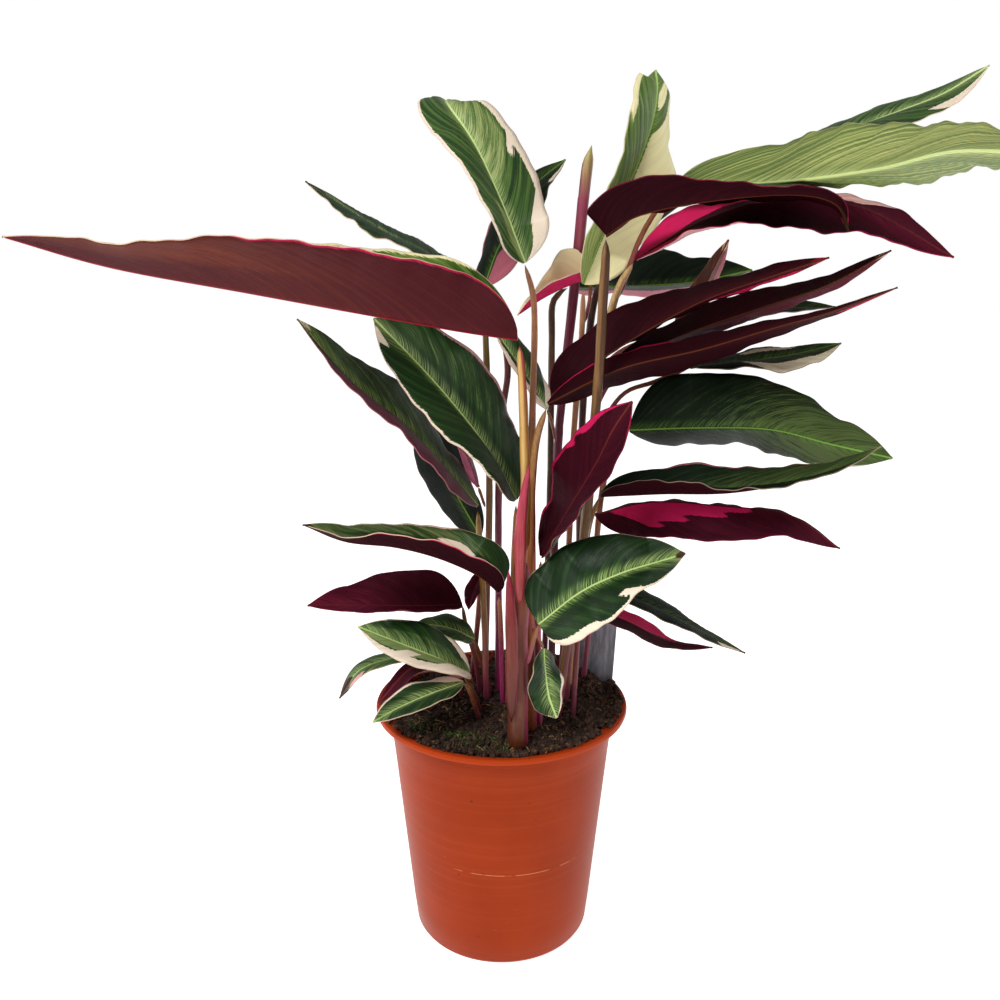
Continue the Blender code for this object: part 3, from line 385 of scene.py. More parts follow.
STALKS = (
    Stalk("cane_front", ((10, -61, 162, 6.6), (10, -56, 189, 6.4), (10, -55, 229, 6.2),
          (12, -56, 261, 5.2), (13, -57, 281, 4.2)), (srgb(92, 46, 26), srgb(104, 44, 28),
          srgb(110, 48, 30), srgb(128, 60, 34)), flank=srgb(166, 40, 86), flank_turn=0),
    Stalk("sheath_front_lower", ((6, -66, 179, 1.4), (6, -66, 200, 3.6), (6, -66, 233, 3.8),
          (5, -64, 258, 2.8), (4, -62, 276, 0.9)), (srgb(76, 32, 22), srgb(106, 40, 26),
          srgb(118, 38, 34), srgb(146, 36, 58)), flank=srgb(186, 40, 96), flank_turn=0.05, rooted=False),
    Stalk("sheath_front_upper", ((11, -66, 255, 1.8), (11, -66, 277, 3.2), (11, -66, 302, 3.4),
          (13, -65, 323, 2.4), (16, -63, 341, 0.8)), (srgb(140, 48, 46), srgb(172, 58, 70),
          srgb(184, 62, 88)), flank=srgb(206, 58, 100), flank_turn=0.45, rooted=False),
    Stalk("stalk_far_left", ((13, -57, 284, 3.4), (14, -58, 318, 3), (13, -59, 354, 2.8),
          (12, -60, 380, 2.5), (10, -61, 408, 2)), (srgb(134, 70, 30), srgb(152, 102, 40),
          srgb(158, 108, 44), srgb(146, 84, 40), srgb(168, 50, 58)), flank=srgb(206, 166, 96),
          flank_turn=0.66, rooted=False),
    Stalk("stalk_fan_lower", ((20, -40, 162, 3), (18, -43, 224, 3), (18, -44, 277, 2.9),
          (18, -44, 321, 2.4), (21, -37, 350, 2.2), (27, -26, 367, 1.6)), (srgb(142, 74, 44),
          srgb(160, 88, 46), srgb(168, 96, 46), srgb(206, 160, 100)), flank=srgb(160, 48, 84),
          flank_turn=0.98),
    Stalk("stalk_top_left", ((10, 1, 162, 2.2), (16, -34, 273, 2.3), (18, -30, 330, 2.2),
          (19, -22, 372, 2.1), (20, -14, 413, 1.9), (19, -9, 434, 1.8), (14, -6, 452, 1.4)), (MAGENTA,
          srgb(128, 72, 46), srgb(126, 78, 48), srgb(140, 92, 60)), flank=srgb(186, 128, 110),
          flank_turn=0.97),
    Stalk("stalk_dark_crown", ((36, -23, 162, 3), (46, -16, 234, 3), (53, -26, 297, 3),
          (55, -40, 356, 2.9), (57, -44, 398, 2.9), (58, -44, 432, 2.8), (59, -43, 454, 2.6),
          (59, -42, 466, 2)), (srgb(130, 46, 70), srgb(96, 60, 30), srgb(98, 66, 32), srgb(84, 54, 28),
          srgb(66, 40, 26)), flank=srgb(130, 92, 48), flank_turn=0.6),
    Stalk("stalk_tall_right", ((41, 16, 162, 2), (45, 14, 258, 2), (47, 13, 341, 2), (50, 11, 393, 1.9),
          (51, 10, 418, 1.8), (51, 8, 437, 1.4)), (srgb(142, 50, 84), srgb(150, 92, 52),
          srgb(172, 120, 84))),
    Stalk("rolled_new_leaf", ((34, 10, 162, 2.2), (37, 26, 311, 2.4), (40, 26, 365, 2.6),
          (45, 26, 417, 2.8), (49, 26, 461, 3), (52, 26, 497, 3.1), (54, 26, 515, 2.8),
          (56, 26, 524, 0.5)), (srgb(70, 24, 40), srgb(84, 26, 46), srgb(84, 22, 44), srgb(84, 22, 44),
          srgb(92, 28, 50), srgb(92, 28, 50), srgb(98, 30, 54), srgb(98, 30, 54), srgb(104, 32, 56),
          srgb(120, 44, 66), srgb(168, 76, 100), srgb(186, 184, 104)), flank=srgb(120, 34, 66),
          flank_turn=0.45, rolled=True),
    Stalk("stalk_long_maroon", ((49, 13, 162, 2.4), (55, 12, 287, 2.4), (61, 10, 367, 2.4),
          (67, 10, 412, 2.5), (72, 2, 437, 2.3), (79, -12, 453, 1.6)), (srgb(146, 52, 88),
          srgb(140, 90, 54), srgb(158, 118, 70), srgb(176, 132, 92)), flank=srgb(206, 170, 116),
          flank_turn=0.6),
    Stalk("stalk_back_dark", ((30, 26, 162, 2), (33, 32, 309, 2.1), (33, 32, 364, 2.2),
          (33, 31, 404, 2.2), (33, 31, 426, 2.1), (38, 32, 434, 1.9), (43, 33, 437, 1.3)),
          (srgb(110, 40, 66), srgb(64, 42, 32), srgb(74, 50, 34), srgb(88, 60, 40))),
    Stalk("stalk_far_right", ((55, 40, 162, 2.4), (54, 34, 330, 2.4), (57, 30, 404, 2.4),
          (65, 28, 442, 2.3), (94, 26, 476, 2.2), (124, 24, 497, 1.9), (158, 22, 511, 1.3)),
          (srgb(132, 46, 80), srgb(70, 44, 32), srgb(52, 26, 28), srgb(60, 34, 30))),
    Stalk("stalk_behind_top_left", ((-12, 20, 162, 2.2), (-10, 16, 229, 2.2), (-8, 10, 301, 2.2),
          (-9, 8, 368, 2.1), (-10, 7, 406, 2), (-11, 6, 435, 1.4)), (srgb(150, 48, 92), srgb(124, 80, 44),
          srgb(112, 90, 40), srgb(96, 84, 34)), flank=srgb(160, 56, 80), flank_turn=0.5),
    Stalk("stalk_left_behind", ((-2, 16, 162, 2.4), (-2, 22, 227, 2.4), (-2, 18, 299, 2.4),
          (0, 17, 353, 2.2), (4, 16, 386, 2.1), (-1, 15, 414, 1.9), (-10, 14, 436, 1.4)),
          (srgb(150, 44, 96), srgb(126, 40, 80), srgb(96, 34, 50), srgb(80, 44, 36))),
    Stalk("stalk_left_upper", ((-10, 1, 162, 2), (-12, 0, 235, 2.1), (-14, -12, 277, 2.1),
          (-15, -18, 301, 1.4)), (srgb(148, 50, 90), srgb(150, 108, 54), srgb(150, 116, 58))),
    Stalk("stalk_left_large", ((4, -6, 162, 2), (7, -24, 243, 1.9), (8, -26, 281, 1.7),
          (9, -26, 307, 1.2)), (srgb(150, 46, 92), srgb(150, 96, 50), srgb(160, 112, 58)),
          flank=srgb(176, 52, 100), flank_turn=0.5),
    Stalk("stalk_left_boat", ((1, -4, 162, 1.7), (0, -16, 206, 1.7), (-1, -32, 240, 1.5),
          (-2, -39, 251, 1.1)), (srgb(160, 46, 100), srgb(156, 54, 92), srgb(168, 112, 60))),
    Stalk("stalk_centre_maroon", ((25, -32, 162, 2), (23, -40, 223, 2), (23, -43, 257, 1.9),
          (24, -46, 277, 1.3)), (srgb(160, 52, 100), srgb(150, 66, 70), srgb(140, 82, 54)),
          flank=srgb(190, 90, 120), flank_turn=0.9),
)

SOIL_RADIUS = 73.4
LIP_TOP = 163.6
SOIL_EDGE_HEIGHT = 159.0
HEAP_PLACE = (58.0, 23.0)
HEAP_HEIGHT = 12.0
HEAP_SPREAD = 21.0
LITTER_EDGE = 0.94


def smooth_curve(points: Sequence[Sequence[float]], fractions: Sequence[float]) -> np.ndarray:
    """Points along a smooth curve through some knots.

    Args:
        points: the knots. Their first three columns are a place.
        fractions: where along the curve's length the points are wanted, from 0 to 1.
    Returns:
        One row of columns for each fraction.
    """
    knots = np.array(points, dtype=float)
    padded = np.vstack([2 * knots[0] - knots[1], knots, 2 * knots[-1] - knots[-2]])
    fine = []
    for span in range(len(knots) - 1):
        before, start, end, after = padded[span:span + 4]
        for u in np.linspace(0.0, 1.0, 24, endpoint=False):
            fine.append(0.5 * (2 * start + (end - before) * u
                               + (2 * before - 5 * start + 4 * end - after) * u ** 2
                               + (3 * start - before - 3 * end + after) * u ** 3))
    fine = np.vstack([fine, knots[-1]])
    steps = np.linalg.norm(np.diff(fine[:, :3], axis=0), axis=1)
    length = np.concatenate([[0.0], np.cumsum(steps)])
    wanted = np.asarray(fractions) * length[-1]
    return np.column_stack([np.interp(wanted, length, column) for column in fine.T])


def path_length(path: np.ndarray) -> float:
    """Length of a path in millimetres."""
    return float(np.linalg.norm(np.diff(path[:, :3], axis=0), axis=1).sum())


def tangents(path: np.ndarray) -> list[Vector]:
    """Unit directions along a path."""
    return [Vector(step).normalized() for step in np.gradient(path[:, :3], axis=0)]


def rounded_foot(fraction: float, bluntness: float) -> float:
    """Width of a blade near its foot, from 0 at the foot to 1."""
    return (1.0 - (1.0 - fraction) ** 2.2) ** bluntness


def pointed_tip(fraction: float) -> float:
    """Width of a blade near its tip, from 1 to 0 at the tip."""
    return 1.0 - fraction ** 1.6


def eased_value(values: Sequence[float], place: float) -> float:
    """Value at a place along evenly spaced values.

    Args:
        values: two or more numbers.
        place: from 0 at the first to 1 at the last.
    Returns:
        The smoothly blended value.
    """
    position = place * (len(values) - 1)
    first = min(int(position), len(values) - 2)
    u = position - first
    before, start = values[max(first - 1, 0)], values[first]
    end, after = values[first + 1], values[min(first + 2, len(values) - 1)]
    return 0.5 * (2 * start + (end - before) * u + (2 * before - 5 * start + 4 * end - after) * u ** 2
                  + (3 * start - before - 3 * end + after) * u ** 3)


def seen_width(stations: Sequence[float], along: float, foot: float) -> float:
    """Half width of a blade as it is seen.

    Args:
        stations: the seen half widths between foot and tip.
        along: place on the midrib, from 0 at the foot to 1 at the tip.
        foot: bluntness of the foot.
    Returns:
        The half width in millimetres, negative where the half folds over.
    """
    gap = 1.0 / (len(stations) + 1)
    if along <= gap:
        return stations[0] * rounded_foot(along / gap, foot)
    if along >= 1.0 - gap:
        return stations[-1] * pointed_tip((along - 1.0 + gap) / gap)
    return eased_value(stations, (along - gap) / (1.0 - 2 * gap))


def full_share(along: float, foot: float) -> float:
    """Share of the full half width that a blade has at a place.

    Args:
        along: place on the midrib, from 0 at the foot to 1 at the tip.
        foot: bluntness of the foot.
    Returns:
        The share, from 0 to 1.
    """
    widest_from, widest_to = 0.35, 0.5
    if along < widest_from:
        return rounded_foot(along / widest_from, foot)
    if along > widest_to:
        return pointed_tip((along - widest_to) / (1.0 - widest_to))
    return 1.0


def soft_step(value: float, edge: float, soft: float) -> float:
    """0 well below an edge, 1 well above it."""
    share = min(max((value - edge) / (2 * soft) + 0.5, 0.0), 1.0)
    return share * share * (3.0 - 2.0 * share)


def blend_colours(colours: Sequence[Colour], share: float) -> np.ndarray:
    """Colour at a share from 0 to 1 through a row of colours."""
    places = np.linspace(0.0, 1.0, len(colours))
    return np.array([np.interp(share, places, channel) for channel in zip(*colours)])


def shape_sheet(name: str, columns: int, rows: int) -> bpy.types.Object:
    """Add a flat sheet with a UV map, ready to be shaped.

    Args:
        name: the piece's name.
        columns: faces across.
        rows: faces along.
    Returns:
        The sheet, 2 units wide and long about the origin.
    """
    bpy.ops.object.select_all(action="DESELECT")
    bpy.ops.mesh.primitive_grid_add(x_subdivisions=columns, y_subdivisions=rows, size=2.0)
    sheet = bpy.context.active_object
    sheet.name = name
    sheet.data.name = name
    return sheet


def sheet_places(sheet: bpy.types.Object) -> np.ndarray:
    """Where each point of a fresh sheet lies.

    Args:
        sheet: a sheet from shape_sheet.
    Returns:
        A row for each point: across, from -1 to 1, and along, from 0 to 1.
    """
    flat = np.zeros(len(sheet.data.vertices) * 3)
    sheet.data.vertices.foreach_get("co", flat)
    places = flat.reshape(-1, 3)
    return np.column_stack([places[:, 0], (places[:, 1] + 1.0) / 2.0])


def place_points(piece: bpy.types.Object, points: np.ndarray) -> None:
    """Move the points of a mesh to places in millimetres."""
    piece.data.vertices.foreach_set("co", (points * MM).ravel())
    piece.data.update()


def write_colours(mesh: bpy.types.Mesh, name: str, values: np.ndarray) -> None:
    """Store four numbers for each point of a mesh."""
    layer = mesh.attributes.new(name, "FLOAT_COLOR", "POINT")
    layer.data.foreach_set("color", values.astype(np.float32).ravel())


def write_vectors(mesh: bpy.types.Mesh, name: str, values: np.ndarray) -> None:
    """Store three numbers for each point of a mesh."""
    layer = mesh.attributes.new(name, "FLOAT_VECTOR", "POINT")
    layer.data.foreach_set("vector", values.astype(np.float32).ravel())


def select_only(*pieces: bpy.types.Object) -> None:
    """Select some objects alone.

    Args:
        pieces: the objects. The first becomes active.
    """
    bpy.ops.object.select_all(action="DESELECT")
    for piece in pieces:
        piece.select_set(True)
    bpy.context.view_layer.objects.active = pieces[0]


def merge_close_points(piece: bpy.types.Object) -> None:
    """Merge points that lie on each other, and turn the faces outwards.

    Args:
        piece: a mesh object that closes where its edges meet.
    """
    select_only(piece)
    bpy.ops.object.mode_set(mode="EDIT")
    bpy.ops.mesh.select_all(action="SELECT")
    bpy.ops.mesh.remove_doubles(threshold=2e-6)
    bpy.ops.mesh.normals_make_consistent(inside=False)
    bpy.ops.object.mode_set(mode="OBJECT")


def apply_modifier(piece: bpy.types.Object, kind: str, **settings: float | int | bool | str) -> None:
    """Add a modifier to a piece and apply it.

    Args:
        piece: the mesh object.
        kind: the modifier's type.
        settings: the values of its properties.
    """
    select_only(piece)
    bpy.ops.object.modifier_add(type=kind)
    modifier = piece.modifiers[-1]
    for setting, value in settings.items():
        setattr(modifier, setting, value)
    bpy.ops.object.modifier_apply(modifier=modifier.name)


def join_pieces(name: str, pieces: Sequence[bpy.types.Object]) -> bpy.types.Object:
    """Join pieces into one object.

    Args:
        name: the name of the result.
        pieces: the objects. The others join the first.
    Returns:
        The joined object.
    """
    select_only(*pieces)
    if len(pieces) > 1:
        bpy.ops.object.join()
    joined = bpy.context.active_object
    joined.name = name
    joined.data.name = name
    return joined


def stand_for(piece: bpy.types.Object, node: str) -> None:
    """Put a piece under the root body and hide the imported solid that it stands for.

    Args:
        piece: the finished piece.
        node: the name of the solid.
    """
    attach(piece, BODY)
    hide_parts(node)
    LOG.info("%s: %d faces", piece.name, len(piece.data.polygons))


class Nodes:
    """A material's node tree, with short calls for the nodes that the finishes use."""

    def __init__(self, name: str, roughness: float, gloss: float = 0.5) -> None:
        """Start a material.

        Args:
            name: the material's name.
            roughness: of the surface, where nothing else is linked to it.
            gloss: how strongly the surface mirrors.
        """
        self.material = bpy.data.materials.new(name)
        self.material.use_nodes = True
        self.tree = self.material.node_tree
        self.shader = self.tree.nodes["Principled BSDF"]
        self.shader.inputs["Roughness"].default_value = roughness
        self.shader.inputs["Specular IOR Level"].default_value = gloss

    def add(self, kind: str, **settings: object) -> bpy.types.Node:
        """Add a node.

        Args:
            kind: the node's type.
            settings: the values of its properties.
        Returns:
            The node.
        """
        node = self.tree.nodes.new(kind)
        for setting, value in settings.items():
            setattr(node, setting, value)
        return node

    def feed(self, value: object, socket: bpy.types.NodeSocket) -> None:
        """Link a socket to another, or set its value.

        Args:
            value: a socket, a colour or a number.
            socket: the input that takes it.
        """
        if isinstance(value, bpy.types.NodeSocket):
            self.tree.links.new(value, socket)
        elif isinstance(value, tuple) and len(value) == 3 and socket.type == "RGBA":
            socket.default_value = (*value, 1.0)
        else:
            socket.default_value = value

    def math(self, operation: str, first: object, second: object = 0.0) -> bpy.types.NodeSocket:
        """Do a sum.

        Args:
            operation: the kind of sum.
            first: a socket or a number.
            second: a socket or a number, where the sum needs one.
        Returns:
            The result's socket.
        """
        node = self.add("ShaderNodeMath", operation=operation)
        self.feed(first, node.inputs[0])
        self.feed(second, node.inputs[1])
        return node.outputs[0]

    def mix(self, share: object, first: object, second: object) -> bpy.types.NodeSocket:
        """Mix two colours.

        Args:
            share: how much of the second one, from 0 to 1.
            first: a colour or its socket.
            second: a colour or its socket.
        Returns:
            The mixed colour's socket.
        """
        node = self.add("ShaderNodeMix", data_type="RGBA", clamp_factor=True)
        self.feed(share, node.inputs[0])
        self.feed(first, node.inputs[6])
        self.feed(second, node.inputs[7])
        return node.outputs[2]

    def between(self, value: object, low: float, high: float) -> bpy.types.NodeSocket:
        """Turn a value into a soft step.

        Args:
            value: a socket or a number.
            low: where the step is 0. It may be larger than high.
            high: where the step is 1.
        Returns:
            The step's socket.
        """
        node = self.add("ShaderNodeMapRange", interpolation_type="SMOOTHSTEP", clamp=True)
        self.feed(value, node.inputs[0])
        flipped = low > high
        node.inputs[1].default_value = min(low, high)
        node.inputs[2].default_value = max(low, high)
        node.inputs[3].default_value = 1.0 if flipped else 0.0
        node.inputs[4].default_value = 0.0 if flipped else 1.0
        return node.outputs[0]

    def noise(self, place: object, scale: float = 1.0, detail: float = 2.0,
              rough: float = 0.5) -> bpy.types.NodeSocket:
        """Noise at a place.

        Args:
            place: the place's socket.
            scale: how fine it is.
            detail: octaves of finer noise.
            rough: how strong they are.
        Returns:
            The socket of the noise, from 0 to 1.
        """
        node = self.add("ShaderNodeTexNoise")
        self.feed(place, node.inputs["Vector"])
        node.inputs["Scale"].default_value = scale
        node.inputs["Detail"].default_value = detail
        node.inputs["Roughness"].default_value = rough
        return node.outputs["Fac"]

    def vector(self, x: object, y: object, z: object) -> bpy.types.NodeSocket:
        """Make a vector.

        Args:
            x: a socket or a number.
            y: a socket or a number.
            z: a socket or a number.
        Returns:
            The vector's socket.
        """
        node = self.add("ShaderNodeCombineXYZ")
        for value, socket in zip((x, y, z), node.inputs):
            self.feed(value, socket)
        return node.outputs[0]

    def places(self, scale: tuple[float, float, float] = (1.0, 1.0, 1.0)) -> bpy.types.NodeSocket:
        """Places on the object itself.

        Args:
            scale: stretch of each axis.
        Returns:
            The socket of the stretched places.
        """
        node = self.add("ShaderNodeTexCoord")
        stretched = self.add("ShaderNodeMapping")
        self.feed(node.outputs["Object"], stretched.inputs["Vector"])
        stretched.inputs["Scale"].default_value = scale
        return stretched.outputs[0]

    def parts(self, name: str) -> tuple[bpy.types.NodeSocket, ...]:
        """Split an attribute into its numbers.

        Args:
            name: the attribute's name.
        Returns:
            The sockets of its first three numbers and of its alpha.
        """
        node = self.add("ShaderNodeAttribute", attribute_name=name)
        split = self.add("ShaderNodeSeparateXYZ")
        self.feed(node.outputs["Vector"], split.inputs[0])
        return (*split.outputs, node.outputs["Alpha"])

    def times(self, first: object, second: object) -> bpy.types.NodeSocket:
        """Product of two values."""
        return self.math("MULTIPLY", first, second)

    def plus(self, first: object, second: object) -> bpy.types.NodeSocket:
        """Sum of two values."""
        return self.math("ADD", first, second)

    def centred(self, value: object, gain: float) -> bpy.types.NodeSocket:
        """Make a noise swing about 0, by up to half of gain either way."""
        return self.times(self.math("SUBTRACT", value, 0.5), gain)

    def over(self, colour: object, other: Colour, value: object, low: float, high: float,
             share: float = 1.0) -> bpy.types.NodeSocket:
        """Lay another colour over a colour where a value is high.

        Args:
            colour: a colour or its socket.
            other: the colour that goes over it.
            value: a socket.
            low: value where nothing of the other colour shows. It may be larger than high.
            high: value where most of it shows.
            share: how much of it shows there, from 0 to 1.
        Returns:
            The resulting colour's socket.
        """
        return self.mix(self.times(self.between(value, low, high), share), colour, other)

    def along_veins(self, origin: object, side: object, across: object, detail: float,
                    rough: float) -> bpy.types.NodeSocket:
        """Noise that runs along the lateral veins and differs between the halves.

        Args:
            origin: where the vein leaves the midrib.
            side: a number that sets the halves apart.
            across: place along the vein.
            detail: octaves of finer noise.
            rough: how strong they are.
        Returns:
            The socket of the noise, from 0 to 1.
        """
        return self.noise(self.vector(origin, side, across), 1.0, detail, rough)

    def finish(self, colour: object, height: object, depth: float,
               roughness: object = None) -> bpy.types.Material:
        """Link the colour, a bump and the roughness to the surface.

        Args:
            colour: base colour.
            height: relief from 0 to 1.
            depth: how far it stands out, in metres.
            roughness: a value that varies over the surface, or None.
        Returns:
            The finished material.
        """
        self.feed(colour, self.shader.inputs["Base Color"])
        bump = self.add("ShaderNodeBump")
        bump.inputs["Distance"].default_value = depth
        self.feed(height, bump.inputs["Height"])
        self.feed(bump.outputs[0], self.shader.inputs["Normal"])
        if roughness is not None:
            self.feed(roughness, self.shader.inputs["Roughness"])
        return self.material


def skin_material(face: Face) -> bpy.types.Material:
    """The material of one face of the blades, made once.

    Its attribute "lay" holds millimetres: where the lateral vein through a point leaves the midrib, how
    far the margin is, and how far the midrib is, negative on the left. "marks" holds the fields.

    Args:
        face: the skin.
    Returns:
        The material.
    """
    found = bpy.data.materials.get(face.name.lower())
    if found:
        return found
    skin = face.value
    nodes = Nodes(face.name.lower(), skin.roughness, skin.gloss)
    origin, margin, across, _ = nodes.parts("lay")
    creamy, rosy, shade, withered = nodes.parts("marks")
    rib_far = nodes.math("ABSOLUTE", across)
    sided = nodes.times(nodes.math("SIGN", across), 40.0)
    bands = nodes.along_veins(nodes.times(origin, 0.22), sided, nodes.times(rib_far, 0.02), 2.0, 0.55)
    veins = nodes.along_veins(nodes.times(origin, 1.1), sided, nodes.times(rib_far, 0.045), 3.0, 0.6)
    grain = nodes.along_veins(nodes.times(origin, 1.3), sided, nodes.times(rib_far, 0.13), 3.0, 0.65)
    contrast = skin.contrast
    lit = nodes.plus(nodes.centred(bands, 2.4 * contrast), nodes.centred(veins, 1.3 * contrast))
    lit = nodes.plus(nodes.plus(lit, 0.42), nodes.times(shade, 0.55))
    colour = nodes.mix(nodes.between(lit, 0.0, 1.0), skin.deep, skin.mid)
    flecks = nodes.plus(nodes.centred(grain, 2.0), nodes.times(shade, 0.55))
    flecks = nodes.plus(flecks, nodes.centred(bands, contrast))
    colour = nodes.over(colour, skin.light, flecks, 0.32, 0.75, 0.3 + 0.5 * contrast)
    plume = nodes.times(nodes.between(rib_far, 7.0, 0.4), nodes.between(veins, 0.42, 0.66))
    colour = nodes.mix(nodes.times(plume, skin.feather), colour, skin.rib)
    jag = nodes.along_veins(nodes.times(origin, 0.6), sided, 3.0, 3.0, 0.7)
    ragged = nodes.centred(jag, 1.1)
    creamy = nodes.between(nodes.plus(creamy, ragged), 0.46, 0.54)
    whiter = nodes.over(skin.cream, skin.edge, bands, 0.35, 0.7, 0.35)
    colour = nodes.mix(creamy, colour, whiter)
    rosy = nodes.between(nodes.plus(rosy, nodes.times(ragged, 0.8)), 0.42, 0.58)
    rosier = nodes.over(skin.blush, skin.mid, veins, 0.35, 0.7, 0.3)
    colour = nodes.mix(rosy, colour, rosier)
    rib = nodes.math("SUBTRACT", rib_far, nodes.times(grain, 0.2))
    colour = nodes.over(colour, skin.rib, rib, skin.rib_width, 0.45 * skin.rib_width)
    rim = nodes.plus(margin, nodes.centred(grain, 0.5))
    colour = nodes.over(colour, skin.edge, rim, skin.edge_width, 0.3 * skin.edge_width, 0.8)
    withered = nodes.plus(withered, nodes.times(ragged, 0.5))
    colour = nodes.over(colour, srgb(62, 38, 22), withered, 0.4, 0.65)
    relief = nodes.plus(veins, nodes.times(grain, 0.25))
    matt = nodes.plus(nodes.times(grain, 0.16), skin.roughness - 0.08)
    return nodes.finish(colour, relief, 0.00035, matt)


def stalk_material() -> bpy.types.Material:
    """The material of every stalk: its "tint" attribute, with fine streaks and lengthwise ribs.

    Returns:
        The material, made once.
    """
    found = bpy.data.materials.get("stalk_skin")
    if found:
        return found
    nodes = Nodes("stalk_skin", 0.4, 0.3)
    tint = nodes.add("ShaderNodeAttribute", attribute_name="tint").outputs["Color"]
    streaks = nodes.noise(nodes.places((900.0, 900.0, 30.0)), 1.0, 3.0, 0.6)
    blotches = nodes.noise(nodes.places((160.0, 160.0, 40.0)), 1.0, 2.0, 0.6)
    colour = nodes.over(tint, srgb(58, 28, 22), streaks, 0.4, 0.7, 0.35)
    colour = nodes.over(colour, srgb(196, 146, 92), blotches, 0.52, 0.75, 0.14)
    matt = nodes.plus(nodes.times(streaks, 0.2), 0.3)
    return nodes.finish(colour, streaks, 0.0003, matt)


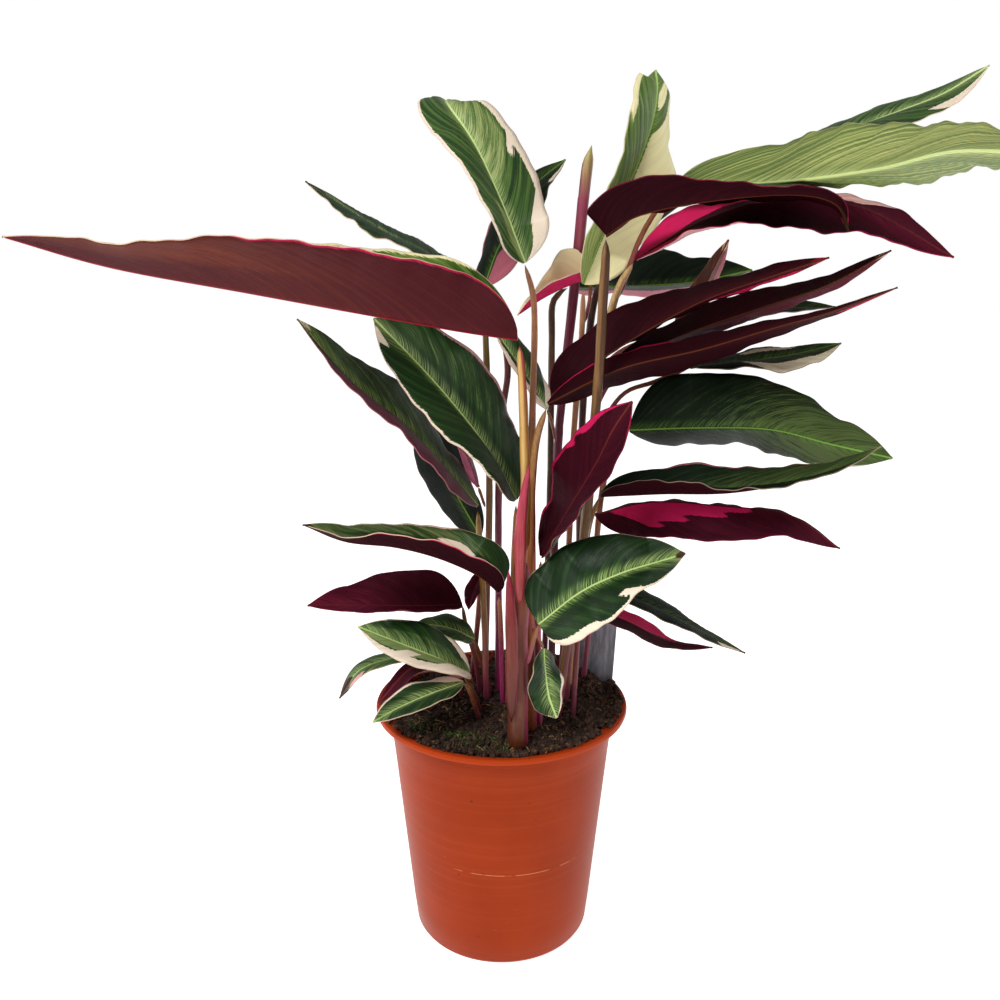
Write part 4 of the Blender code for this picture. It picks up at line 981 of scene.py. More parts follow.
@dataclass
class BladeMaker:
    """Shapes leaf blades from flat sheets."""
    half_columns: int = 11
    row_pitch: float = 1.7
    fewest_rows: int = 30
    most_rows: int = 120
    thickness: float = 0.55
    arch: float = 0.10
    keel_depth: float = 0.45
    keel_width: float = 0.9
    quilt_pitch: float = 4.2
    quilt_depth: float = 0.16
    vein_slant: float = 0.30
    foot_width: float = 1.1
    tip_width: float = 0.45
    fold_depth: float = 1.12
    mark_blur: float = 0.07

    def build(self, blade: Blade) -> bpy.types.Object:
        """Make one leaf with its own stalk where it has one.

        Args:
            blade: the leaf's table entry.
        Returns:
            The finished leaf.
        """
        fine = smooth_curve(blade.midrib, np.linspace(0.0, 1.0, 60))
        length = path_length(fine)
        rows = int(min(max(length / self.row_pitch, self.fewest_rows), self.most_rows))
        sheet = shape_sheet(blade.name, 2 * self.half_columns, rows)
        places = sheet_places(sheet)
        levels = np.unique(np.round(places[:, 1], 6))
        path = smooth_curve(blade.midrib, levels)
        frames = [self.row(blade, point, way, along)
                  for point, way, along in zip(path, tangents(path), levels.tolist())]
        points, lays, marks = [], [], []
        for across, along in places.tolist():
            row = frames[int(round(along * (len(levels) - 1)))]
            point, lay, reach = self.point(blade, row, across, along, length)
            points.append(point)
            lays.append(lay)
            marks.append(self.marks(blade, lay[0] / length, reach, across))
        place_points(sheet, np.array(points))
        write_vectors(sheet.data, "lay", np.array(lays))
        write_colours(sheet.data, "marks", np.array(marks))
        seen, hidden = (blade.under, blade.upper) if blade.underside_seen else (blade.upper, blade.under)
        sheet.data.materials.append(skin_material(seen))
        sheet.data.materials.append(skin_material(hidden))
        select_only(sheet)
        bpy.ops.object.shade_smooth()
        apply_modifier(sheet, "SOLIDIFY", thickness=self.thickness * MM, offset=0.0, material_offset=1)
        pieces = [sheet]
        if blade.stalk:
            path = blade.stalk + (blade.midrib[0] + (self.foot_width,),)
            own = Stalk(blade.name, path, blade.stalk_colours, rooted=blade.rooted)
            pieces.append(TubeMaker().build(own))
        return join_pieces(blade.name, pieces)

    def row(self, blade: Blade, point: np.ndarray, way: Vector, along: float) -> tuple[Vector, ...]:
        """Lay out a blade at one place on its midrib.

        Args:
            blade: the leaf.
            point: the place, in its first three numbers.
            way: direction of the midrib there.
            along: from 0 at the foot to 1 at the tip.
        Returns:
            The place, the vectors from it to the left and the right edge, the upward directions of both
            halves, and that of the midrib.
        """
        centre = Vector(point[:3])
        sight = (centre - EYE).normalized()
        sideways = way.cross(sight).normalized()
        nearer = way.cross(sideways).normalized()
        facing = -1.0 if blade.underside_seen else 1.0
        left = self.half(blade, along, sideways, nearer, True)
        right = self.half(blade, along, sideways, nearer, False)
        left_up = facing * way.cross(left).normalized()
        right_up = facing * right.cross(way).normalized()
        return centre, left, right, left_up, right_up, (left_up + right_up).normalized()

    def half(self, blade: Blade, along: float, sideways: Vector, nearer: Vector, on_left: bool) -> Vector:
        """Find one edge of a blade.

        Args:
            blade: the leaf.
            along: place on the midrib, from 0 at the foot to 1 at the tip.
            sideways: direction to the left as seen from EYE.
            nearer: direction across the midrib that leans towards EYE.
            on_left: whether the left edge is wanted.
        Returns:
            The vector from the midrib to the edge.
        """
        stations, lean, side = blade.right, blade.right_lean, -1.0
        if on_left:
            stations, lean, side = blade.left, blade.left_lean, 1.0
        seen = seen_width(stations, along, blade.foot)
        full = blade.half_width * full_share(along, blade.foot)
        if seen < 0.0:
            full = max(full, -self.fold_depth * seen)
        depth = max(full * full - seen * seen, 0.0) ** 0.5
        half = side * seen * sideways + lean * depth * nearer
        least = self.foot_width if along < 0.5 else self.tip_width
        if half.length < least:
            half = side * least * sideways
        return half

    def point(self, blade: Blade, row: tuple[Vector, ...], across: float, along: float,
              length: float) -> tuple[Vector, tuple[float, float, float], float]:
        """Shape one point of a blade.

        Args:
            blade: the leaf.
            row: what row() gives for the point's place on the midrib.
            across: place on the sheet, from -1 at the left edge to 1.
            along: place on the sheet, from 0 at the foot to 1.
            length: of the midrib, in millimetres.
        Returns:
            Where the point goes, its "lay" numbers, and its reach from 0 at the midrib to 1 at the margin.
        """
        centre, left, right, left_up, right_up, up = row
        reach = abs(across) ** 1.35
        half, side_up = (left, left_up) if across < 0 else (right, right_up)
        wide = half.length
        far = reach * wide
        origin = along * length - self.vein_slant * length * reach ** 1.3 * min(1.0, wide / 12.0)
        ends = min(1.0, 6.0 * along, 6.0 * (1.0 - along))
        bow = 4.0 * reach * (1.0 - reach)
        folded = 0.5 + 0.5 * left.normalized().dot(right.normalized())
        lift = self.arch * (1.0 - folded) ** 2 * wide * bow
        lift += self.quilt_depth * sin(2 * pi * origin / self.quilt_pitch) * bow * ends
        phase = sum(ord(letter) for letter in blade.name) + (2.0 if across < 0 else 0.0)
        swing = blade.wave * min(1.3, 0.045 * wide) * ends * reach ** 2.5
        lift += swing * (sin(along * length / 5.2 + phase) + 0.5 * sin(along * length / 2.3 + 2.0 * phase))
        keel = self.keel_depth * exp(-(far / self.keel_width) ** 2) * (1.0 - 0.7 * along)
        place = centre + half * reach + side_up * lift - up * keel * min(1.0, 0.3 + 5.0 * along)
        margin = (1.0 - reach) * wide
        return place, (origin, margin, far if across > 0 else -far), reach

    def marks(self, blade: Blade, origin: float, reach: float, across: float) -> list[float]:
        """Read the marks at one point of a blade.

        Args:
            blade: the leaf.
            origin: where the vein through the point leaves the midrib, from 0 at the foot to 1.
            reach: from 0 at the midrib to 1 at the margin.
            across: negative on the left half.
        Returns:
            The strength of each field, in the order of Field.
        """
        fields = [0.0, 0.0, 0.0, 0.0]
        for mark in blade.marks:
            if mark.side * across < 0.0:
                continue
            share = soft_step(origin, mark.start, mark.soft)
            share *= 1.0 - soft_step(origin, mark.end, mark.soft)
            share *= soft_step(reach, mark.inner, self.mark_blur)
            share *= 1.0 - soft_step(reach, mark.outer, self.mark_blur)
            place = mark.field.value
            if mark.field is Field.TONE:
                fields[place] += share * mark.amount
            else:
                fields[place] = max(fields[place], share * mark.amount)
        return fields


@dataclass
class TubeMaker:
    """Shapes stalks, canes and rolled leaves from flat sheets that are wrapped round a path."""
    sides: int = 16
    ring_pitch: float = 4.0
    sink: float = 5.0
    dome_rings: int = 2
    roll_step: float = 0.22
    flank_edge: float = 0.78
    flank_blur: float = 0.12

    def build(self, stalk: Stalk) -> bpy.types.Object:
        """Make one stalk as a closed tube with rounded ends.

        Args:
            stalk: the stalk's table entry.
        Returns:
            The finished stalk.
        """
        points = [list(point) for point in stalk.points]
        if stalk.rooted:
            points[0][2] = ground_height(points[0][0], points[0][1]) - self.sink
        length = path_length(smooth_curve(points, np.linspace(0.0, 1.0, 60)))
        rows = max(10, int(length / self.ring_pitch))
        tube = shape_sheet(stalk.name + "_tube", self.sides, rows)
        places = sheet_places(tube)
        levels = np.unique(np.round(places[:, 1], 6))
        path = smooth_curve(points, levels)
        ways = tangents(path)
        spots, tints = [], []
        for across, along in places.tolist():
            ring = int(round(along * (len(levels) - 1)))
            spots.append(self.point(stalk, path[ring], ways[ring], across, ring, len(levels)))
            tints.append((*self.tint(stalk, across, along), 1.0))
        place_points(tube, np.array(spots))
        write_colours(tube.data, "tint", np.array(tints))
        merge_close_points(tube)
        tube.data.materials.append(stalk_material())
        select_only(tube)
        bpy.ops.object.shade_smooth()
        return tube

    def point(self, stalk: Stalk, row: np.ndarray, way: Vector, across: float, ring: int,
              rings: int) -> Vector:
        """Wrap one point of the sheet round the path.

        Args:
            stalk: the stalk.
            row: place and radius at the point's ring.
            way: direction of the path there.
            across: place on the sheet, from -1 to 1.
            ring: number of the point's ring.
            rings: how many rings there are.
        Returns:
            Where the point goes.
        """
        turn = pi * across
        ends = min(ring, rings - 1 - ring)
        radius = float(row[3]) * (0.0, 0.72, 1.0)[min(ends, self.dome_rings)]
        if stalk.rolled:
            coil = (across + 1.0) / 2.0 + 0.012 * ring
            radius *= 1.0 + self.roll_step * (coil % 1.0)
        else:
            radius *= 1.0 + 0.05 * sin(5 * turn) + 0.03 * sin(ring * 0.9)
        outward = Vector((1.0, 0.0, 0.0))
        outward = (outward - way * outward.dot(way)).normalized()
        along_turn = way.cross(outward)
        return Vector(row[:3]) + radius * (cos(turn) * outward + sin(turn) * along_turn)

    def tint(self, stalk: Stalk, across: float, along: float) -> np.ndarray:
        """Colour one point of a stalk.

        Args:
            stalk: the stalk.
            across: place on the sheet, from -1 to 1.
            along: place on the sheet, from 0 at the foot to 1.
        Returns:
            The colour.
        """
        colour = blend_colours(stalk.colours, along)
        if stalk.flank:
            turned = cos(pi * across - 2 * pi * stalk.flank_turn)
            share = soft_step(turned, self.flank_edge, self.flank_blur)
            colour = colour * (1.0 - share) + np.array(stalk.flank) * share
        return colour


def ground_height(x: float, y: float) -> float:
    """Height of the soil's surface.

    Args:
        x: place to the right of the pot's axis, in millimetres.
        y: place behind it.
    Returns:
        The height in millimetres.
    """
    reach = hypot(x, y) / SOIL_RADIUS
    away = ((x - HEAP_PLACE[0]) ** 2 + (y - HEAP_PLACE[1]) ** 2) / HEAP_SPREAD ** 2
    lumps = 0.5 * sin(0.31 * x + 0.9) * sin(0.27 * y + 0.4)
    rise = 3.0 * (1.0 - reach ** 2) + HEAP_HEIGHT * exp(-away) + lumps
    return SOIL_EDGE_HEIGHT + rise * max(0.0, 1.0 - reach ** 24)


@dataclass
class Pot:
    """The round nursery pot: its outline from the middle of its base up, over the lip and down inside."""
    height: float = 164.0
    rim_radius: float = 85.0
    neck_radius: float = 75.7
    base_radius: float = 60.3
    lip_depth: float = 4.6
    wall: float = 1.8
    segments: int = 128

    def outline(self) -> list[tuple[float, float]]:
        """The outline as it is spun.

        Returns:
            Radius and height of each of its points, in millimetres.
        """
        low = self.height - self.lip_depth
        taper = (self.neck_radius - self.base_radius) / low
        inside = self.base_radius - self.wall
        rim, neck, top = self.rim_radius, self.neck_radius, self.height
        points = [(0.0, 1.6), (44.0, 1.6), (46.0, 0.2), (56.0, 0.0), (57.6, 0.2), (59.2, 1.0),
                  (self.base_radius, 2.8)]
        points += [(self.base_radius + taper * z + 0.05, z) for z in (20.0, 50.0, 90.0, 130.0)]
        points += [(neck - 1.1, 145.5), (neck - 0.6, 147.0), (neck, low - 0.9), (neck + 0.6, low - 0.3),
                   (rim - 1.4, low), (rim - 0.4, low + 0.5), (rim, low + 1.6), (rim, top - 1.7),
                   (rim - 0.5, top - 0.5), (rim - 1.7, top), (rim - 2.6, top - 0.1), (rim - 3.8, top - 0.9),
                   (rim - 5.0, top - 1.0), (rim - 6.4, top - 1.9), (75.2, 160.4), (74.2, 158.0),
                   (73.4, 150.0)]
        points += [(inside + taper * z, z) for z in (100.0, 40.0, 6.0)]
        return points + [(inside - 2.4, 3.6), (0.0, 3.4)]

    def build(self) -> None:
        """Spin the outline about the pot's axis."""
        bpy.ops.object.select_all(action="DESELECT")
        mesh = bpy.data.meshes.new("pot_shell")
        points = self.outline()
        mesh.from_pydata([(radius * MM, 0.0, z * MM) for radius, z in points],
                         [(step, step + 1) for step in range(len(points) - 1)], [])
        pot = bpy.data.objects.new("pot_shell", mesh)
        bpy.context.scene.collection.objects.link(pot)
        select_only(pot)
        bpy.ops.object.mode_set(mode="EDIT")
        bpy.ops.mesh.select_all(action="SELECT")
        bpy.ops.mesh.spin(steps=self.segments, angle=2 * pi, center=(0.0, 0.0, 0.0), axis=(0.0, 0.0, 1.0))
        bpy.ops.object.mode_set(mode="OBJECT")
        merge_close_points(pot)
        select_only(pot)
        bpy.ops.object.shade_smooth_by_angle(angle=radians(38.0))
        pot.data.materials.append(self.plastic())
        stand_for(pot, "pot")

    def plastic(self) -> bpy.types.Material:
        """Thin moulded plastic with specks, soft scuffs, one long pale scratch and painted light on the
        lip.

        Returns:
            The finished material.
        """
        nodes = Nodes("pot_plastic", 0.5, 0.07)
        places = nodes.places()
        split = nodes.add("ShaderNodeSeparateXYZ")
        nodes.feed(places, split.inputs[0])
        east, north, up = split.outputs
        clouds = nodes.noise(places, 22.0, 3.0, 0.5)
        colour = nodes.mix(nodes.between(clouds, 0.3, 0.7), srgb(142, 46, 9), srgb(151, 51, 12))
        rings = nodes.noise(nodes.places((4.0, 4.0, 420.0)), 1.0, 2.0, 0.5)
        colour = nodes.over(colour, srgb(196, 96, 56), rings, 0.5, 0.75, 0.08)
        # Painted light: the lip is painted a brighter orange than the body below it, as a highlight where
        # it catches the light.
        colour = nodes.over(colour, srgb(166, 56, 14), up, 0.1585, 0.1600)
        scuffs = nodes.noise(nodes.places((60.0, 60.0, 300.0)), 1.0, 4.0, 0.7)
        colour = nodes.over(colour, srgb(210, 126, 86), scuffs, 0.68, 0.76, 0.3)
        specks = nodes.noise(places, 420.0, 1.0, 0.4)
        colour = nodes.over(colour, srgb(92, 34, 22), specks, 0.78, 0.81)
        scratch_height, scratch_middle = 0.0722, 0.009
        arc = nodes.plus(up, nodes.times(east, 0.012))
        line = nodes.math("ABSOLUTE", nodes.math("SUBTRACT", arc, scratch_height))
        line = nodes.between(line, 0.0005, 0.0001)
        gaps = nodes.noise(nodes.vector(nodes.times(east, 70.0), 0.0, 0.0))
        broken = nodes.between(gaps, 0.42, 0.5)
        front = nodes.between(north, 0.0, -0.02)
        line = nodes.times(nodes.times(line, broken), front)
        reach = nodes.math("ABSOLUTE", nodes.math("SUBTRACT", east, scratch_middle))
        line = nodes.times(line, nodes.between(reach, 0.042, 0.034))
        colour = nodes.mix(nodes.times(line, 0.5), colour, srgb(226, 150, 104))
        grit = nodes.between(nodes.noise(places, 260.0, 2.0, 0.6), 0.7, 0.76)
        soiled = nodes.times(grit, nodes.between(up, 0.156, 0.1625))
        colour = nodes.mix(nodes.times(soiled, 0.8), colour, srgb(96, 54, 28))
        matt = nodes.plus(nodes.times(clouds, 0.14), 0.33)
        height = nodes.plus(nodes.times(rings, 0.5), nodes.times(scuffs, 0.3))
        return nodes.finish(colour, height, 0.00012, matt)


@dataclass
class Soil:
    """The potting soil: a rough bed with crumbs, fibres and moss on it."""
    columns: int = 150
    crumbs: int = 4200
    fibres: int = 230
    moss_tufts: int = 330
    skirt_share: float = 0.78
    skirt_bottom: float = 4.5
    crumb_sizes: tuple[float, ...] = (0.5, 0.7, 0.8, 0.9, 1.1, 1.4, 1.9, 2.5)
    moss_places: Path = ((-36.0, -46.0), (-12.0, -58.0), (-52.0, -34.0), (-24.0, -50.0), (-4.0, -62.0))
    seed: int = 17

    def build(self) -> None:
        """Make the bed and everything that lies on it as one piece."""
        chance = random.Random(self.seed)
        bed = self.bed()
        crumbs = self.crumb_field(chance)
        fibres = self.strand_field("fibres", chance, self.fibres, self.fibre)
        moss = self.strand_field("moss", chance, self.moss_tufts, self.tuft)
        for piece, finish in ((bed, self.earth()), (crumbs, self.crumb_earth()), (fibres, self.straw()),
                              (moss, self.moss())):
            piece.data.materials.append(finish)
        soil = join_pieces("soil_bed", [bed, crumbs, fibres, moss])
        stand_for(soil, "soil")

    def bed(self) -> bpy.types.Object:
        """A disc of soil with lumps, and a skirt down to the floor of the pot.

        Returns:
            The closed bed, without its finish.
        """
        bed = shape_sheet("bed", self.columns, self.columns)
        places = sheet_places(bed)
        points = []
        for across, along in places.tolist():
            x, y = across, 2.0 * along - 1.0
            square = max(abs(x), abs(y))
            round_off = square / (hypot(x, y) or 1.0)
            place = Vector((x, y, 0.0)) * SOIL_RADIUS * round_off
            if square < 0.995:
                lumps = sum(size * noise.noise(place * pitch)
                            for size, pitch in ((1.6, 0.16), (1.1, 0.42), (0.6, 1.1)))
                place.z = ground_height(place.x, place.y) + lumps
            else:
                place = Vector((place.x * self.skirt_share, place.y * self.skirt_share, self.skirt_bottom))
            points.append(place)
        place_points(bed, np.array(points))
        select_only(bed)
        bpy.ops.object.mode_set(mode="EDIT")
        bpy.ops.mesh.select_all(action="DESELECT")
        bpy.ops.mesh.select_non_manifold()
        bpy.ops.mesh.edge_face_add()
        bpy.ops.mesh.select_all(action="SELECT")
        bpy.ops.mesh.normals_make_consistent(inside=False)
        bpy.ops.object.mode_set(mode="OBJECT")
        bpy.ops.object.shade_smooth_by_angle(angle=radians(60.0))
        return bed

    def spot(self, chance: random.Random, edge: float = 0.985) -> Vector:
        """A random place on the soil.

        Args:
            chance: the source of random numbers.
            edge: how far out it may lie, as a share of the soil's radius.
        Returns:
            The place in millimetres.
        """
        while True:
            x, y = (chance.uniform(-SOIL_RADIUS, SOIL_RADIUS) for _ in range(2))
            if hypot(x, y) < SOIL_RADIUS * edge:
                return Vector((x, y, ground_height(x, y)))

    def crumb_field(self, chance: random.Random) -> bpy.types.Object:
        """Small lumps of soil. A quarter of them lie on the heap and a quarter on the lip.

        Args:
            chance: the source of random numbers.
        Returns:
            All the lumps as one object.
        """
        bpy.ops.object.select_all(action="DESELECT")
        bpy.ops.mesh.primitive_ico_sphere_add(subdivisions=1, radius=1.0)
        pattern = bpy.context.active_object
        base = np.array([vertex.co for vertex in pattern.data.vertices])
        faces = np.array([polygon.vertices[:] for polygon in pattern.data.polygons])
        bpy.data.objects.remove(pattern, do_unlink=True)
        points, corners = [], []
        for number in range(self.crumbs):
            spot = self.spot(chance)
            if number % 4 == 1:
                spot = self.lip_spot(chance)
            if number % 4 == 0:
                turn, reach = chance.uniform(0, 2 * pi), abs(chance.gauss(0.0, 14.0))
                spot = Vector((HEAP_PLACE[0] + reach * cos(turn), HEAP_PLACE[1] + reach * sin(turn), 0.0))
                if hypot(spot.x, spot.y) > SOIL_RADIUS:
                    spot *= SOIL_RADIUS / hypot(spot.x, spot.y) * 0.98
                spot.z = ground_height(spot.x, spot.y)
            size = chance.choice(self.crumb_sizes)
            stretch = np.array([chance.uniform(0.6, 1.3) for _ in range(3)]) * size
            dents = np.array([[chance.uniform(0.75, 1.2)] for _ in base])
            points.append(base * dents * stretch + np.array(spot) + np.array([0.0, 0.0, 0.35 * size]))
            corners.append(faces + len(base) * number)
        return self.from_arrays("crumbs", np.vstack(points), np.vstack(corners))

    def lip_spot(self, chance: random.Random) -> Vector:
        """A random place where soil has spilt on the pot's lip, more of it at the right and the back.

        Args:
            chance: the source of random numbers.
        Returns:
            The place in millimetres.
        """
        at_right = chance.random() < 0.5
        turn = chance.gauss(radians(25.0), radians(38.0)) if at_right else chance.uniform(0, 2 * pi)
        radius = chance.uniform(SOIL_RADIUS - 3.0, SOIL_RADIUS + 8.0)
        height = LIP_TOP - 0.35 * (SOIL_RADIUS + 6.5 - radius)
        return Vector((radius * cos(turn), radius * sin(turn), height))

    def strand_field(self, name: str, chance: random.Random, count: int,
                     strand: Callable[[random.Random], Strand]) -> bpy.types.Object:
        """Many thin three-sided strands.

        Args:
            name: the name of the result.
            chance: the source of random numbers.
            count: how many strands.
            strand: gives the path and the radius of one.
        Returns:
            All the strands as one object.
        """
        points, corners = [], []
        for _ in range(count):
            path, radius = strand(chance)
            first = len(points)
            for place in path:
                for turn in (0.0, 2.1, 4.2):
                    offset = Vector((cos(turn), sin(turn), 0.4 * sin(turn + 1.0)))
                    points.append(place + offset * radius)
            for ring in range(len(path) - 1):
                low = first + 3 * ring
                for side in range(3):
                    after = (side + 1) % 3
                    corners.append((low + side, low + after, low + after + 3))
                    corners.append((low + side, low + after + 3, low + side + 3))
            corners.append((first, first + 2, first + 1))
            top = first + 3 * (len(path) - 1)
            corners.append((top, top + 1, top + 2))
        return self.from_arrays(name, np.array(points), np.array(corners))

    def fibre(self, chance: random.Random) -> Strand:
        """A bit of straw or root that lies on the soil.

        Args:
            chance: the source of random numbers.
        Returns:
            Its path and its radius, in millimetres.
        """
        place = self.spot(chance, LITTER_EDGE)
        turn, bend, step = chance.uniform(0, 2 * pi), chance.uniform(-0.5, 0.5), chance.uniform(0.8, 2.4)
        path = []
        for number in range(5):
            height = ground_height(place.x, place.y) + 0.9 + 0.8 * sin(number * 0.8)
            path.append(Vector((place.x, place.y, height)))
            place = place + Vector((cos(turn), sin(turn), 0.0)) * step
            turn += bend
        return path, chance.uniform(0.12, 0.3)

    def tuft(self, chance: random.Random) -> Strand:
        """A short upright wisp of moss, at the front on the left.

        Args:
            chance: the source of random numbers.
        Returns:
            Its path and its radius, in millimetres.
        """
        centre = chance.choice(self.moss_places)
        place = Vector((centre[0] + chance.gauss(0.0, 7.0), centre[1] + chance.gauss(0.0, 4.5), 0.0))
        if hypot(place.x, place.y) > LITTER_EDGE * SOIL_RADIUS:
            place *= LITTER_EDGE * SOIL_RADIUS / hypot(place.x, place.y)
        lean = Vector((chance.uniform(-0.8, 0.8), chance.uniform(-0.8, 0.8), 1.0))
        lean *= chance.uniform(0.5, 1.1)
        base = Vector((place.x, place.y, ground_height(place.x, place.y) + 0.4))
        top = base + lean * 1.8 + Vector((lean.x, lean.y, 0.0))
        return [base, base + lean, top], chance.uniform(0.2, 0.42)

    def from_arrays(self, name: str, points: np.ndarray, corners: np.ndarray) -> bpy.types.Object:
        """Make an object of points and triangles.

        Args:
            name: the object's name.
            points: rows of millimetres.
            corners: rows of three point numbers.
        Returns:
            The object.
        """
        mesh = bpy.data.meshes.new(name)
        mesh.from_pydata((points * MM).tolist(), [], corners.tolist())
        piece = bpy.data.objects.new(name, mesh)
        bpy.context.scene.collection.objects.link(piece)
        return piece

    def earth(self) -> bpy.types.Material:
        """Damp dark soil with grains of every brown."""
        return self.ground("earth", 700.0, (srgb(22, 13, 8), srgb(64, 38, 20), srgb(134, 92, 52)))

    def crumb_earth(self) -> bpy.types.Material:
        """Looser, drier crumbs."""
        return self.ground("crumb_earth", 380.0, (srgb(26, 15, 9), srgb(78, 48, 26), srgb(160, 112, 66)))

    def ground(self, name: str, scale: float, colours: tuple[Colour, Colour, Colour]) -> bpy.types.Material:
        """Soil in three browns.

        Args:
            name: the material's name.
            scale: how fine its grains are.
            colours: the damp, the common and the driest brown.
        Returns:
            The finished material.
        """
        nodes = Nodes(name, 0.9)
        places = nodes.places()
        grains = nodes.noise(places, scale, 4.0, 0.7)
        patches = nodes.noise(places, 90.0, 2.0, 0.5)
        colour = nodes.mix(nodes.between(grains, 0.4, 0.62), colours[0], colours[1])
        driest = nodes.plus(grains, nodes.centred(patches, 0.3))
        colour = nodes.over(colour, colours[2], driest, 0.6, 0.7)
        return nodes.finish(colour, grains, 0.0012)

    def straw(self) -> bpy.types.Material:
        """Dry fibres.

        Returns:
            The finished material.
        """
        nodes = Nodes("straw", 0.7)
        grains = nodes.noise(nodes.places(), 160.0, 2.0, 0.6)
        colour = nodes.mix(nodes.between(grains, 0.4, 0.6), srgb(92, 58, 32), srgb(176, 138, 86))
        return nodes.finish(colour, grains, 0.0002)

    def moss(self) -> bpy.types.Material:
        """Small green moss.

        Returns:
            The finished material.
        """
        nodes = Nodes("moss", 0.7)
        grains = nodes.noise(nodes.places(), 220.0, 2.0, 0.6)
        colour = nodes.mix(nodes.between(grains, 0.35, 0.65), srgb(34, 58, 20), srgb(84, 108, 40))
        return nodes.finish(colour, grains, 0.0003)


@dataclass
class PlantLabel:
    """The bare tag in the soil: a slab with rounded corners that leans a little."""
    width: float = 25.0
    thickness: float = 0.9
    foot: tuple[float, float] = (66.0, 25.0)
    top: tuple[float, float, float] = (69.0, 29.0, 212.6)

    def build(self) -> None:
        """Make the tag from a cube that is stretched, leant and bevelled."""
        bpy.ops.object.select_all(action="DESELECT")
        low = ground_height(*self.foot) - 3.0
        rise = self.top[2] - low
        bpy.ops.mesh.primitive_cube_add(size=1.0)
        tag = bpy.context.active_object
        tag.name = "label_tag"
        for vertex in tag.data.vertices:
            share = vertex.co.z + 0.5
            x = self.foot[0] + (self.top[0] - self.foot[0]) * share + vertex.co.x * self.width
            y = self.foot[1] + (self.top[1] - self.foot[1]) * share + vertex.co.y * self.thickness
            vertex.co = Vector((x, y, low + rise * share)) * MM
        apply_modifier(tag, "BEVEL", width=0.0022, segments=4, limit_method="ANGLE", affect="EDGES")
        select_only(tag)
        bpy.ops.object.shade_smooth_by_angle(angle=radians(40.0))
        nodes = Nodes("label_plastic", 0.5)
        smears = nodes.noise(nodes.places((260.0, 260.0, 40.0)), 1.0, 4.0, 0.65)
        dust = nodes.noise(nodes.places(), 900.0, 3.0, 0.7)
        colour = nodes.mix(nodes.between(smears, 0.35, 0.7), srgb(92, 90, 98), srgb(138, 136, 146))
        colour = nodes.over(colour, srgb(46, 42, 42), dust, 0.58, 0.7, 0.5)
        tag.data.materials.append(nodes.finish(colour, dust, 0.0001))
        stand_for(tag, "plant_label")


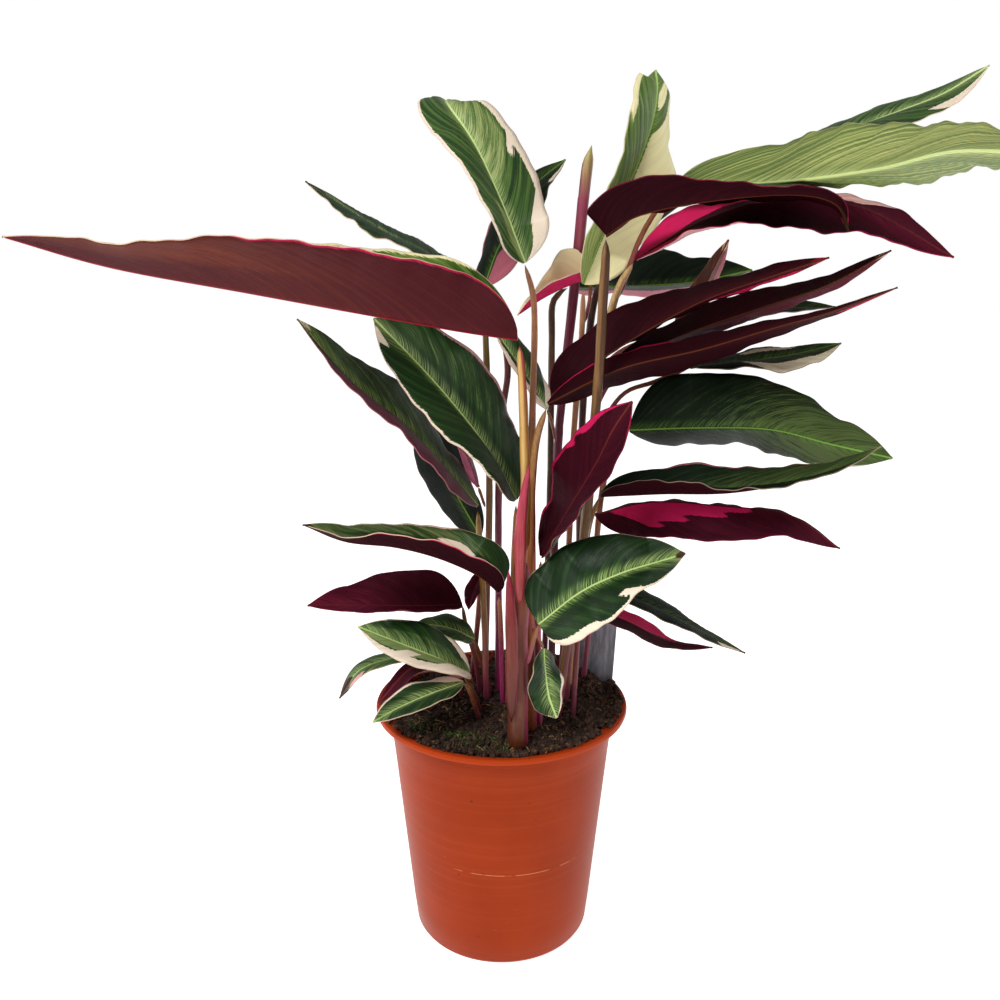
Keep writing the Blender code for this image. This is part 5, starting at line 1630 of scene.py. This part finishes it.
@dataclass
class Studio:
    """The camera, the pale floor and the soft lights."""
    lens: float = 34.74
    sensor: float = 36.0
    viewpoint: tuple[float, float, float] = (-0.001, -0.608, 0.455)
    tilt: float = 76.0
    floor_size: float = 16.0
    floor_glow: float = 0.8
    surround: float = 0.3
    aim: tuple[float, float, float] = (0.0, 0.0, 0.33)

    def build(self) -> None:
        """Set up everything that isn't part of the plant."""
        self.camera()
        self.floor()
        self.lights()

    def camera(self) -> None:
        """A camera at the photograph's viewpoint."""
        lens = bpy.data.cameras.new("viewpoint")
        lens.lens = self.lens
        lens.sensor_width = self.sensor
        viewpoint = bpy.data.objects.new("viewpoint", lens)
        viewpoint.location = self.viewpoint
        viewpoint.rotation_euler = (radians(self.tilt), 0.0, 0.0)
        bpy.context.scene.collection.objects.link(viewpoint)
        bpy.context.scene.camera = viewpoint

    def floor(self) -> None:
        """A wide pale floor."""
        bpy.ops.object.select_all(action="DESELECT")
        bpy.ops.mesh.primitive_plane_add(size=self.floor_size)
        ground = bpy.context.active_object
        ground.name = "floor"
        nodes = Nodes("floor_paint", 0.9)
        tone = nodes.noise(nodes.places(), 3.0, 2.0, 0.5)
        colour = nodes.mix(nodes.between(tone, 0.3, 0.7), srgb(246, 246, 246), srgb(250, 250, 250))
        nodes.feed(srgb(255, 255, 255), nodes.shader.inputs["Emission Color"])
        nodes.shader.inputs["Emission Strength"].default_value = self.floor_glow
        ground.data.materials.append(nodes.finish(colour, tone, 0.0001))

    def lights(self) -> None:
        """A soft key from the upper left, a fill, two rims and an even surround that looks white."""
        world = bpy.data.worlds.new("surround")
        world.use_nodes = True
        tree = world.node_tree
        backdrop = tree.nodes["Background"]
        backdrop.inputs[0].default_value = (1.0, 1.0, 1.0, 1.0)
        seen = tree.nodes.new("ShaderNodeLightPath").outputs["Is Camera Ray"]
        strength = tree.nodes.new("ShaderNodeMapRange")
        strength.inputs[3].default_value = self.surround
        strength.inputs[4].default_value = 1.0
        tree.links.new(seen, strength.inputs[0])
        tree.links.new(strength.outputs[0], backdrop.inputs[1])
        bpy.context.scene.world = world
        bpy.context.scene.view_settings.view_transform = "Standard"
        self.lamp("key", (-0.7, -1.1, 1.6), 0.7, 22.0)
        self.lamp("fill", (1.3, -0.9, 0.7), 1.0, 2.5)
        self.lamp("left_rim", (-1.3, 0.5, 0.5), 0.9, 6.0)
        self.lamp("right_rim", (1.2, 0.8, 0.7), 0.9, 4.0)

    def lamp(self, name: str, place: tuple[float, float, float], size: float, power: float) -> None:
        """A square area light that looks at the plant.

        Args:
            name: the lamp's name.
            place: where it stands, in metres.
            size: of its side.
            power: in watts.
        """
        light = bpy.data.lights.new(name, "AREA")
        light.size = size
        light.energy = power
        lamp = bpy.data.objects.new(name, light)
        lamp.location = place
        lamp.rotation_euler = (Vector(place) - Vector(self.aim)).to_track_quat("Z", "Y").to_euler()
        bpy.context.scene.collection.objects.link(lamp)


def main() -> None:
    """Build the plant in its pot, piece by piece."""
    logging.basicConfig(level=logging.INFO, format="%(name)s: %(message)s")
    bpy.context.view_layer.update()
    Studio().build()
    Pot().build()
    Soil().build()
    PlantLabel().build()
    for stalk in STALKS:
        tube = TubeMaker().build(stalk)
        tube.name = stalk.name + "_skin"
        stand_for(tube, stalk.name)
    for blade in BLADES:
        leaf = BladeMaker().build(blade)
        leaf.name = blade.name + "_skin"
        stand_for(leaf, blade.name)


if __name__ == "__main__":
    main()
